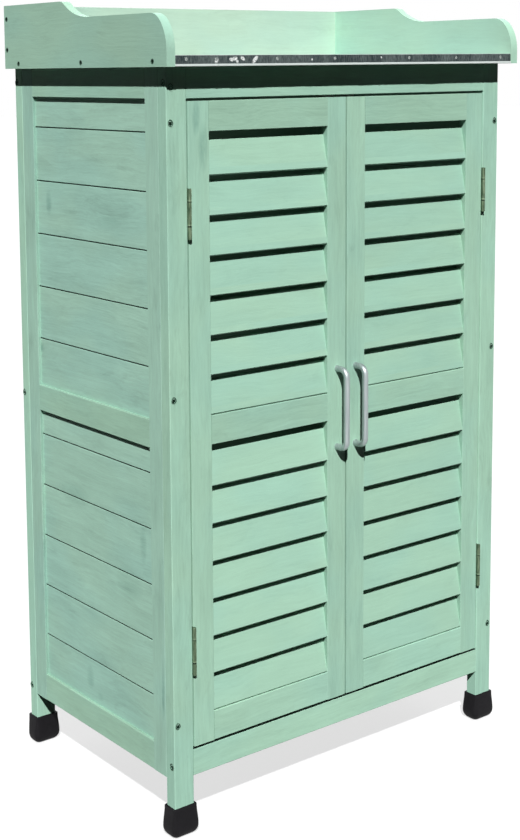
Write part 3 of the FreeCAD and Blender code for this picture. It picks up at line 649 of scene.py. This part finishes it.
def placed(grid, origin, axes, ring=False):
    """The skin of a grid in a piece's own space, carried to where its axes point."""
    return skin(grid @ np.array(axes, float) + np.array(origin, float), ring)


def rounded_rows(half_a, half_b, radius, level, steps=6):
    """Rectangles with round corners, one for each entry of the arrays: four quarter circles
    round the corners' centres, at a level along the third axis."""
    half_a, half_b, radius, level = np.broadcast_arrays(
        *np.atleast_1d(half_a, half_b, radius, level))
    turn = (np.arange(4)[:, None] * np.pi / 2 + np.linspace(0, np.pi / 2, steps + 1)).ravel()
    side_a = np.repeat([1.0, -1.0, -1.0, 1.0], steps + 1)
    side_b = np.repeat([1.0, 1.0, -1.0, -1.0], steps + 1)
    a = side_a * (half_a - radius)[:, None] + radius[:, None] * np.cos(turn)
    b = side_b * (half_b - radius)[:, None] + radius[:, None] * np.sin(turn)
    return np.stack([a, b, np.broadcast_to(level[:, None], a.shape)], -1)


def turned_rows(radius, level, columns):
    """Circles round the third axis; radius and level may also change with the column."""
    turn = np.arange(columns) * 2 * np.pi / columns
    radius, level = np.broadcast_arrays(np.asarray(radius, float), np.asarray(level, float))
    if radius.ndim == 1:
        radius, level = radius[:, None], level[:, None]
    return np.stack(np.broadcast_arrays(radius * np.cos(turn), radius * np.sin(turn), level), -1)


# %% [markdown]
# ## Tongues between the planks
#
# Boards shrink across the grain, so the planks of a panel are joined by loose tongues that no
# rain or light gets past: strips deep in each joint, from stile to stile. Each is a plate of
# four corners with eased edges, whose face points out of the cabinet.

# %% Tongues
JOINTS = np.concatenate([0.0334 + PLANK_PITCH * np.arange(2, 7),
                         0.0213 + PLANK_PITCH * np.arange(8, 13)])
TONGUE_HALF_HEIGHT, TONGUE_DEPTH, TONGUE_EASE = 0.00052, 0.003, 0.0001
# each panel's tongues: half their length, their middle, the way they run and their third axis
PANELS = ((0.2865, (0.0, 0.2171), (1, 0, 0), (0, -1, 0)),
          (0.1650, (-0.3415, 0.0121), (0, 1, 0), (1, 0, 0)),
          (0.1650, (0.3415, 0.0121), (0, 1, 0), (-1, 0, 0)))
tongues = []
for half_length, middle, across, inwards in PANELS:
    rows = rounded_rows(half_length, TONGUE_HALF_HEIGHT, TONGUE_EASE, [0.0, TONGUE_DEPTH], 1)
    tongues += [placed(rows, (*middle, z), (across, (0, 0, 1), inwards)) for z in JOINTS]
# the tongues are painted a dark base colour: painted shade, the shade deep in each joint
make_piece("joint_tongues", tongues, "cabinet",
           painted_timber("painted_tongues", Z, base=rgb(34, 52, 43), seed=130.0, edge_highlight_and_wear=0.0))

# %% [markdown]
# ## Foot caps
#
# Each leg stands in a rubber cup that was pushed over its end: a soft box, wider low down, with a
# rolled bottom edge and a rounded rim. The cup is one surface: its profile goes from under the
# middle up the outside, over the rim, down the inside and back to the middle of the socket. At
# every step it is a rectangle with round corners.

# %% Foot caps
FRONT, REAR = -0.2014, 0.2256
HALF_WIDTH = 0.350
LEG_WIDTH, LEG_DEPTH = 0.036, 0.021
CAP_HEIGHT, CAP_FLOOR = 0.048, 0.005
CAP_ROLL = (0.0115, 0.0145)
CAP_RIM_WALL, CAP_BULGE, CAP_RIM = 0.0036, 0.0034, 0.0011
CAP_RIM_CORNER, CAP_LOW_CORNER = 0.0030, 0.0082
CAP_BACK_LIMIT = 0.0037


def foot_cap(middle_x, middle_y, back):
    """Outside: the leg plus a wall plus a bulge that fades upwards as a cosine, less a quarter
    ellipse at the bottom; the corners grow rounder downwards. Inside: the leg with a hair of
    play. A wall that would pass the limit at the back is thinner."""
    roll = np.linspace(0.0, np.pi / 2, 10)
    up = np.linspace(0.0, 1.0, 9)[1:]
    rim = np.linspace(0.0, np.pi / 2, 5)[1:]
    bulge = np.concatenate([np.ones(10), 0.5 + 0.5 * np.cos(np.pi * up), np.zeros(4)])
    inset = np.concatenate([CAP_ROLL[0] * (1 - np.sin(roll)), np.zeros(8),
                            CAP_RIM * (1 - np.cos(rim))])
    level = np.concatenate([CAP_ROLL[1] * (1 - np.cos(roll)),
                            CAP_ROLL[1] + up * (CAP_HEIGHT - CAP_RIM - CAP_ROLL[1]),
                            CAP_HEIGHT - CAP_RIM * (1 - np.sin(rim))])
    wall = CAP_RIM_WALL + CAP_BULGE * bulge
    back_wall = np.minimum(wall, CAP_BACK_LIMIT) if back else wall
    corner = CAP_RIM_CORNER + (CAP_LOW_CORNER - CAP_RIM_CORNER) * bulge - 0.3 * inset
    outside = rounded_rows(LEG_WIDTH / 2 + wall - inset,
                           LEG_DEPTH / 2 + (wall + back_wall) / 2 - inset, corner, level)
    outside[..., 1] -= ((wall - back_wall) / 2)[:, None]
    play = 0.00005 - np.array([0.0, 0.0, 0.004])
    inside = rounded_rows(LEG_WIDTH / 2 + play, LEG_DEPTH / 2 + play, 0.0006,
                          [CAP_HEIGHT - 0.0004, CAP_FLOOR, CAP_FLOOR])
    return skin(np.concatenate([outside, inside]) + [middle_x, middle_y, 0.0])


for end, middle_y in (("front", FRONT + LEG_DEPTH / 2), ("rear", REAR - LEG_DEPTH / 2)):
    for side, sign in (("left", -1), ("right", 1)):
        cup = foot_cap(sign * (HALF_WIDTH - LEG_WIDTH / 2), middle_y, end == "rear")
        make_piece("rubber_cap_" + end + "_" + side, [cup], "cabinet", RUBBER,
                   ["_".join((end, side, "foot_cap"))])

# %% [markdown]
# ## Screws and nails
#
# A screw's head is a disc with a crossed groove; below it a cone leads into the shank, where a
# thread winds down to the point. It is one surface of turning: the groove pushes the face in, and
# the thread is a ridge that moves on by one pitch for each turn. A driven screw crushes the fibres
# round its head: they stand up in a low bank, whose inside is painted dark as painted shade. The
# bank also rounds off the pockets, which have few sides in the frame.

# %% Screws
SCREW_SINK = 0.0012
LEG_SCREW_X = HALF_WIDTH - 0.0075
LEG_SCREW_HEIGHTS = {-1: (0.1775, 0.680, 1.0865), 1: (0.1745, 0.6775, 1.070)}
RAIL_SCREWS = ((FRONT + 0.007, 0.1125), (FRONT + 0.007, 1.1445), (REAR - 0.005, 0.1015),
               (REAR - 0.005, 0.62175), (REAR - 0.005, 1.1445))
NOTCH_SCREW_PLACE = (-0.3414, FRONT, 1.1381)


def crossed_groove(across, upwards, reach, half_width, depth):
    """Depth of two crossing grooves, each a V of half_width that ends within reach."""
    def groove(along, aside):
        wall = np.clip(1 - np.abs(aside) / half_width, 0, 1)
        return wall * np.clip((reach - np.abs(along)) / (0.25 * reach), 0, 1)
    return depth * np.maximum(groove(across, upwards), groove(upwards, across))


def screw(head, rise, sink, cone, shank, length, pitch, columns=20):
    """Turned profile round the inward axis, the face sink below the surface and domed by rise.
    Thread: the shank's radius times 0.78, plus 0.22 of a triangle wave of depth / pitch less
    the turn. The last twelfth tapers to the point."""
    turn = np.arange(columns) / columns
    face = head * np.linspace(0.06, 1.0, 10)[:, None]
    across, upwards = face * np.cos(2 * np.pi * turn), face * np.sin(2 * np.pi * turn)
    dome = sink - rise * (1 - (face / head) ** 2)
    face_level = dome + crossed_groove(across, upwards, 0.62 * head, 0.17 * head, 0.35 * head)
    depth = np.arange(sink + cone, length, pitch / 4)[:, None]
    phase = (depth / pitch - turn) % 1.0
    taper = np.clip((length - depth) / (length / 12), 0.12, 1.0)
    threaded = shank * taper * (0.78 + 0.22 * np.abs(2 * phase - 1))
    radius = np.concatenate([face + 0 * turn, np.full((1, columns), head), threaded])
    level = np.concatenate([face_level, np.full((1, columns), sink + 0.0004), depth + 0 * turn])
    return turned_rows(radius, level, columns)


def fibre_bank(sink, columns=24):
    """Ring whose section climbs from the paint to a low crest, follows the pocket's wall down
    and returns through the timber: radius and rise in millimetres, depth in shares of the sink.
    Waves in the turn's angle make the crest uneven, and the fourth power of its sine draws the
    ring out upwards, so that its dark inside has the shape of a painted shadow."""
    turn = np.arange(columns) * 2 * np.pi / columns
    uneven = 0.16 * np.sin(3 * turn + 1.0) + 0.10 * np.sin(7 * turn)
    drawn = 1 + 0.3 * np.clip(np.sin(turn), 0, 1) ** 4
    radius, rise, depth = np.array([
        [5.15, 5.1, 4.9, 4.6, 4.35, 4.1, 3.3, 2.9, 2.85, 3.5, 5.0],
        [0.0, 0.34, 0.46, 0.36, 0.16, 0.05, 0.04, 0.0, 0.0, 0.0, 0.0],
        [0.0, 0.0, 0.0, 0.0, 0.0, 0.0, 0.0, 0.5, 0.95, 0.95, 0.04]])[:, :, None]
    return turned_rows(radius * 0.001 * drawn * (1 + 0.02 * uneven * (rise > 0)),
                       depth * sink - rise * 0.001 * (1 + uneven), columns)


def crushed_fibres():
    """Painted shade in the pocket, and paint where the fibres stand proud of the timber."""
    f = Finish("crushed_fibres")
    x, y, _ = f.split(f.place)
    beyond = f.math("MAXIMUM", f.minus(FRONT, y), f.minus(y, REAR))
    beyond = f.math("MAXIMUM", beyond, f.minus(f.math("ABSOLUTE", x), HALF_WIDTH))
    lit = f.noise(f.place, 700.0, 3.0, 0.7)
    f.relief(lit, 0.0003, 0.8)
    # the pocket is painted dark: painted shade
    dark = f.blend(f.ramp(lit, 0.35, 0.65), rgb(16, 38, 28), rgb(40, 72, 56))
    return f.set(Base_Color=f.blend(f.ramp(beyond, 0.00022, 0.00036), dark, SAGE), Roughness=0.7,
                 Specular_IOR_Level=0.1)


def seated(grid, origin, inwards, angle=0.0, ring=False):
    """The skin of a grid whose third axis goes inwards, turned by an angle round it."""
    inwards, upwards = np.array(inwards, float), np.array([0.0, 0.0, 1.0])
    across = np.cross(upwards, inwards)
    turned = (math.cos(angle) * across + math.sin(angle) * upwards,
              math.cos(angle) * upwards - math.sin(angle) * across, inwards)
    return placed(grid, origin, turned, ring)


def driven(grid, origin, inwards, angles=(0.0, 1.5), ring=False):
    """The same, turned by a throw of dice as a screwdriver leaves it."""
    return seated(grid, origin, inwards, dice.uniform(*angles), ring)


dice = np.random.default_rng(7)
leg_screw, rail_screw, tray_screw = (screw(0.0034, 0.0, SCREW_SINK, 0.0022, 0.0018, length, 0.0022)
                                     for length in (0.042, 0.058, 0.034))
notch_screw = screw(0.0030, 0.0, -0.0003, 0.0022, 0.0016, 0.030, 0.0022)
bank = fibre_bank(SCREW_SINK)
frame_places, tray_places = [], []
for sign in (-1, 1):
    for height in LEG_SCREW_HEIGHTS[sign]:
        frame_places += [(leg_screw, (sign * LEG_SCREW_X, FRONT, height), (0, 1, 0)),
                         (leg_screw, (sign * LEG_SCREW_X, REAR, height), (0, -1, 0))]
    for places, grid, face_x, spots in (
            (frame_places, rail_screw, HALF_WIDTH, RAIL_SCREWS),
            (tray_places, tray_screw, TRAY_HALF, TRAY_SCREWS)):
        places += [(grid, (sign * face_x, y, z), (-sign, 0, 0)) for y, z in spots]
frame_places.append((notch_screw, NOTCH_SCREW_PLACE, (0, 1, 0)))
for label, places in (("frame", frame_places), ("tray", tray_places)):
    make_piece("cross_head_" + label + "_screws",
               [driven(*place, (0, math.pi / 2)) for place in places],
               "cabinet", DARK_STEEL, [label + "_screws"])
banks = [driven(bank, *place[1:], (-0.2, 0.2), True) for place in frame_places]
make_piece("fibre_banks", banks, "cabinet", crushed_fibres())

# %% Nails
SHEET = 0.0006
TRAY_INNER = 0.352
BASE_FRONT = TRAY_FRONT + 3 * SHEET
BASE_TOP = FRAME_TOP + 0.0157
NAIL_HEIGHT = BASE_TOP - 0.0157 / 3
NAIL_X = [inset - TRAY_INNER for inset in (0.020, 0.074, 0.189, 0.304)]
NAIL_X += [TRAY_INNER - inset for inset in (0.0255, 0.133, 0.2405)]


def nail(head, rise, shank, length, columns=20):
    """Domed head, a thin edge, a flat underside and a shank that tapers to a point."""
    share = np.linspace(0.08, 1.0, 8)
    radius = np.concatenate([head * share, [head, 0.55 * head, shank, shank, 0.1 * shank]])
    level = np.concatenate([-rise * np.sqrt(1 - 0.93 * share ** 2),
                            [-0.00008, 0.0, 0.0001, length - 0.002, length]])
    return turned_rows(radius, level, columns)


nail_grid = nail(0.0027, 0.0009, 0.0009, 0.013)
nails = [seated(nail_grid, (x, BASE_FRONT - SHEET, NAIL_HEIGHT), (0, 1, 0)) for x in NAIL_X]
make_piece("domed_sheet_nails", nails, "cabinet", NAIL_STEEL, ["sheet_nails"])

# %% [markdown]
# ## The galvanised sheet
#
# The tray's bottom is one thin sheet. It lies on the boards and bends down over their front edge,
# and its lower edge is folded out and back up as a hem, so that nobody is cut by it. It is a line
# in the side view, with half of the thickness laid on each side, carried across the tray while
# the fold stands off a little in slow waves that die out at each nail.

# %% Sheet
BASE_REAR = TRAY_REAR - 0.015
SHEET_BEND = 0.0013
STATION = 0.0026


def sheet_line():
    """The sheet's middle line in the side view: flat, a bend, down, a turn outwards and up the
    hem; and how much of the waves each point takes."""
    flat = np.linspace(BASE_REAR, BASE_FRONT + 0.001, 12)
    bend = np.linspace(0, np.pi / 2, 6)[1:]
    fold = BASE_FRONT - SHEET / 2
    low = FRAME_TOP + 0.0002 + 1.5 * SHEET
    top = BASE_TOP + SHEET / 2
    drop = np.linspace(top - SHEET_BEND, low, 9)[1:]
    turn = np.linspace(0, np.pi, 9)[1:]
    hem = np.linspace(low, FRAME_TOP + 0.0038, 4)[1:]
    y = np.concatenate([flat, fold + SHEET_BEND * (1 - np.sin(bend)), np.full(8, fold),
                        fold - SHEET * (1 - np.cos(turn)), np.full(3, fold - 2 * SHEET)])
    z = np.concatenate([np.full(12, top), top - SHEET_BEND * (1 - np.cos(bend)), drop,
                        low - SHEET * np.sin(turn), hem])
    return y, z, np.concatenate([np.zeros(17), np.linspace(0, 1, 9)[1:], np.ones(11)])


def fold_waves(x):
    """How far the fold stands off at each place across: the squares of slow and short waves,
    times a dip to nothing at each nail and at both ends, or a peak at each crease."""
    slow = np.sin(x * 41.0 + 0.8) * np.sin(x * 17.0 + 2.0)
    short = np.sin(x * 173.0) * np.sin(x * 61.0 + 1.0)
    waves = 0.0005 * slow ** 2 + 0.0002 * short ** 2
    for fixed in NAIL_X + [-TRAY_INNER, TRAY_INNER]:
        waves = waves * (1 - np.exp(-((x - fixed) / 0.012) ** 2))
    for place, half, *_ in CREASES:
        waves = np.maximum(waves, 0.0008 * np.clip(1 - np.abs(x - place) / half, 0, 1))
    return waves


def hemmed_sheet():
    """Both faces of the sheet are its middle line moved by half a thickness along the line's
    own normal; strips close the edges and ends. The stations across are closer at creases."""
    y, z, take = sheet_line()
    run_y, run_z = np.gradient(y), np.gradient(z)
    length = np.hypot(run_y, run_z)
    end = TRAY_INNER - 0.0001
    x = np.concatenate([np.arange(-end, end, STATION), [end]]
                       + [place + half * np.linspace(-1.2, 1.2, 13) for place, half, *_ in CREASES])
    x = np.unique(x.round(5))
    out = fold_waves(x)[:, None] * take
    above, below = (np.stack(np.broadcast_arrays(x[:, None], y - half * run_z / length - out,
                                                 z + half * run_y / length), -1)
                    for half in (SHEET / 2, -SHEET / 2))
    columns = len(y)
    grid = np.concatenate([above, below[:, ::-1]], axis=1)
    here = np.arange(len(x) * 2 * columns).reshape(len(x), 2 * columns)
    near, far = here[:, :columns], here[:, columns:][:, ::-1]
    first = np.stack([near[0, 1:], near[0, :-1], far[0, :-1], far[0, 1:]], -1)
    last = np.stack([near[-1, :-1], near[-1, 1:], far[-1, 1:], far[-1, :-1]], -1)
    return outward(grid.reshape(-1, 3), np.concatenate([strips(here), first, last]))


make_piece("hemmed_zinc_sheet", [hemmed_sheet()], "cabinet", ZINC,
           ["tray_metal_sheet"])

# %% [markdown]
# ## Bent bar handles
#
# Each handle is one round bar, bent back to the door at both ends, where a screw from inside
# holds it. A circle is carried along the bar's line: out of the door, round a quarter circle,
# down, round again and back. The line lies in one plane, so the circle's axes are the plane's
# normal and the line's own normal, and nothing twists.

# %% Handles
HANDLE_X, HANDLE_Z = 0.020, 0.6225
HANDLE_HALF, HANDLE_REACH = 0.064, 0.028
BAR, BEND = 0.005, 0.013
DOOR_BACK = FRONT + 0.020


def handle_line(steps=14):
    """Points of the bar's line from the upper foot to the lower one, and its directions."""
    turn = np.linspace(0, np.pi / 2, steps)
    bar_y = FRONT - HANDLE_REACH + BAR
    foot = np.linspace(FRONT, bar_y + BEND, 5)[:-1]
    y = np.concatenate([foot, bar_y + BEND * (1 - np.sin(turn))])
    z = np.concatenate([np.full(4, HANDLE_HALF), HANDLE_HALF - BEND * (1 - np.cos(turn))])
    away = np.concatenate([np.full(4, np.pi / 2), np.pi / 2 - turn])
    run_y = np.concatenate([-np.sin(away), np.sin(away[::-1])])
    run_z = np.concatenate([-np.cos(away), -np.cos(away[::-1])])
    return (np.concatenate([y, y[::-1]]), np.concatenate([z, -z[::-1]]) + HANDLE_Z, run_y, run_z)


def bar_handle(x, columns=28):
    """Circle in the plane of X and the line's normal at each point of the line. The feet
    spread by a tenth where they meet the door."""
    y, z, run_y, run_z = (part[:, None] for part in handle_line())
    spread = BAR * (1 + 0.1 * np.exp(-((y - FRONT) / 0.0012) ** 2))
    turn = np.arange(columns) * 2 * np.pi / columns
    aside = spread * np.sin(turn)
    return skin(np.stack([x + spread * np.cos(turn), y - aside * run_z, z + aside * run_y], -1))


handle_screw = screw(0.004, 0.0022, 0.0, 0.0004, 0.002, 0.030, 0.0014)
for side, sign in (("left", -1), ("right", 1)):
    body = side + "_door"
    make_piece("bent_bar_handle_" + side, [bar_handle(sign * HANDLE_X)], body,
               NICKEL, [body + "_handle"])
    screws = [driven(handle_screw, (sign * HANDLE_X, DOOR_BACK, HANDLE_Z + end * HANDLE_HALF),
                     (0, -1, 0)) for end in (-1, 1)]
    make_piece("pan_head_handle_screws_" + side, screws, body, PALE_STEEL,
               [body + "_handle_screws"])

# %% [markdown]
# ## Butt hinges
#
# A butt hinge is two strips of bronzed steel rolled round a common pin: two knuckles belong to the
# leg's leaf and the one between them to the door's, and three sunk screws hold each leaf. A
# knuckle is a ring of turning with bevelled ends; the groove where the roll closes is a narrow dip
# in the radius at one angle. Leaves are thin rounded plates.

# %% Hinges
HINGE_X, HINGE_Y = 0.31275, -0.2049
HINGE_LENGTH, END_KNUCKLE, KNUCKLE_GAP = 0.075, 0.0195, 0.0003
KNUCKLE, BORE, BEVEL, SEAM_DIP = 0.0032, 0.00165, 0.0005, 0.0009
LEAF, NECK_HALF = 0.001, 0.00275
LEAF_FRONT, LEAF_BACK = FRONT + 0.0003, FRONT + 0.017
DOOR_LEAF_X, LEG_LEAF_X = -0.3125, -0.314
LEAF_SCREWS = ((-0.027, 0.002), (0.0, -0.001), (0.027, 0.002))
FLAT = (0, 1, 0), (0, 0, 1), (1, 0, 0)


def knuckle(low, high, seam, columns=40):
    """Ring between two heights: outside with bevels, then the bore. The outer radius dips in a
    narrow bell round the seam's angle."""
    turn = np.arange(columns) * 2 * np.pi / columns
    away = np.angle(np.exp(1j * (turn - math.radians(seam))))
    dip = SEAM_DIP * np.exp(-(away / 0.16) ** 2)
    radius = np.array([BORE, KNUCKLE - BEVEL, KNUCKLE, KNUCKLE, KNUCKLE - BEVEL, BORE])[:, None]
    level = np.array([low, low, low + BEVEL, high - BEVEL, high, high])[:, None]
    weight = np.array([0, 1, 1, 1, 1, 0])[:, None]
    grid = turned_rows(radius - weight * dip, level + 0 * turn, columns)
    return grid + [-HINGE_X, HINGE_Y, 0.0]


def plate(origin, axes, thickness, half_a, half_b, corner, edge=0.0002):
    """Rounded plate: a flat face round its origin, an eased edge and the other face."""
    share = np.array([0.5, 1, 1, 1, 1, 0.5])
    eased = np.array([0, edge, 0, 0, edge, 0])
    rows = rounded_rows(share * half_a - eased, share * half_b - eased, share * corner,
                        [0, 0, edge, thickness - edge, thickness, thickness])
    return placed(rows, origin, axes)


leaf_screw = screw(0.0026, 0.0, 0.00005, 0.0016, 0.0014, 0.014, 0.0018)


def hinge_leaf(height, on_door):
    """Plate, its knuckles, the necks that join them, and three screws in the plate."""
    low, high = height - HINGE_LENGTH / 2, height + HINGE_LENGTH / 2
    spans = [(low, low + END_KNUCKLE), (high - END_KNUCKLE, high)]
    plate_x, seam, face_x, inwards = LEG_LEAF_X, 292.0, LEG_LEAF_X + LEAF, (-1, 0, 0)
    if on_door:
        spans = [(low + END_KNUCKLE + KNUCKLE_GAP, high - END_KNUCKLE - KNUCKLE_GAP)]
        plate_x, seam, face_x, inwards = DOOR_LEAF_X, 250.0, DOOR_LEAF_X, (1, 0, 0)
    middle_y, half_y = (LEAF_FRONT + LEAF_BACK) / 2, (LEAF_BACK - LEAF_FRONT) / 2
    metal = [plate((plate_x, middle_y, height), FLAT, LEAF, half_y, HINGE_LENGTH / 2, 0.002)]
    for bottom, top in spans:
        neck = (plate_x, HINGE_Y + NECK_HALF, (bottom + top) / 2)
        metal += [skin(knuckle(bottom, top, seam), ring=True),
                  plate(neck, FLAT, LEAF, NECK_HALF, (top - bottom) / 2, 0.0003)]
    screws = [driven(leaf_screw, (face_x, middle_y + nudge, height + offset), inwards)
              for offset, nudge in LEAF_SCREWS]
    return metal, screws


for side, sign in (("left", 1.0), ("right", -1.0)):
    for on_door, label, body, node in (
            (True, "door", side + "_door", side + "_door_hinge_leaves"),
            (False, "leg", "cabinet", side + "_hinge_frame_leaves")):
        pairs = zip(*(hinge_leaf(height, on_door) for height in HINGE_HEIGHTS))
        # the right side is the left one's mirror image
        metal, screws = ([outward(points * [sign, 1.0, 1.0], *faces)
                          for points, *faces in sum(skins, [])] for skins in pairs)
        label = side + "_" + label
        make_piece("rolled_hinge_leaves_" + label, metal, body, BRONZE, [node])
        make_piece("hinge_screws_" + label, screws, body, BRONZE)

# %% [markdown]
# ## Magnetic catches
#
# Inside, two catches hold the doors shut: a moulded body is screwed to the back of the top rail,
# and the two steel edges of its magnet meet a small plate on the door. All are rounded plates.

# %% Catches and strike plates
CATCH_X, STRIKE = 0.02075, 0.0007
CATCH_LOW, CATCH_HIGH = 1.0995, 1.1355
CATCH_FRONT, CATCH_BACK = FRONT + 0.021, FRONT + 0.033
CATCH_SIZE = (CATCH_BACK - CATCH_FRONT, 0.015, (CATCH_HIGH - CATCH_LOW) / 2, 0.003, 0.0008)
STRIKE_LOW, STRIKE_HIGH = 1.100, 1.115
strike_z = (STRIKE_LOW + STRIKE_HIGH) / 2
UPRIGHT = (1, 0, 0), (0, 0, 1), (0, 1, 0)
small_screw = screw(0.0028, 0.0014, 0.0, 0.0004, 0.0014, 0.016, 0.0016)
flat_screw = screw(0.0022, 0.0, 0.00005, 0.0005, 0.0012, 0.012, 0.0016)
bodies, magnets, holders = [], [], []
for x in (-CATCH_X, CATCH_X):
    bodies.append(plate((x, CATCH_FRONT, (CATCH_LOW + CATCH_HIGH) / 2), UPRIGHT, *CATCH_SIZE))
    for side in (-1, 1):
        edge = (x + side * 0.0045, CATCH_FRONT - 0.00012, strike_z)
        magnets.append(plate(edge, UPRIGHT, 0.003, 0.0009, 0.0062, 0.0003))
        holders.append(driven(small_screw, (x + side * 0.009, CATCH_BACK, CATCH_HIGH - 0.009),
                              (0, -1, 0)))
make_piece("moulded_catch_bodies", bodies, "cabinet", OFF_WHITE,
           ["magnetic_catches"])
make_piece("magnet_edges", magnets, "cabinet", PALE_STEEL)
make_piece("catch_screws", holders, "cabinet", PALE_STEEL)
for side, x in (("left", -CATCH_X), ("right", CATCH_X)):
    body = side + "_door"
    strike = plate((x, DOOR_BACK, strike_z), UPRIGHT, STRIKE, 0.007,
                   (STRIKE_HIGH - STRIKE_LOW) / 2, 0.0018)
    held = seated(flat_screw, (x, DOOR_BACK + STRIKE, strike_z), (0, -1, 0), 0.6)
    make_piece("rounded_strike_plate_" + side, [strike], body, PALE_STEEL,
               [body + "_strike_plate"])
    make_piece("strike_screw_" + side, [held], body, DARK_STEEL)
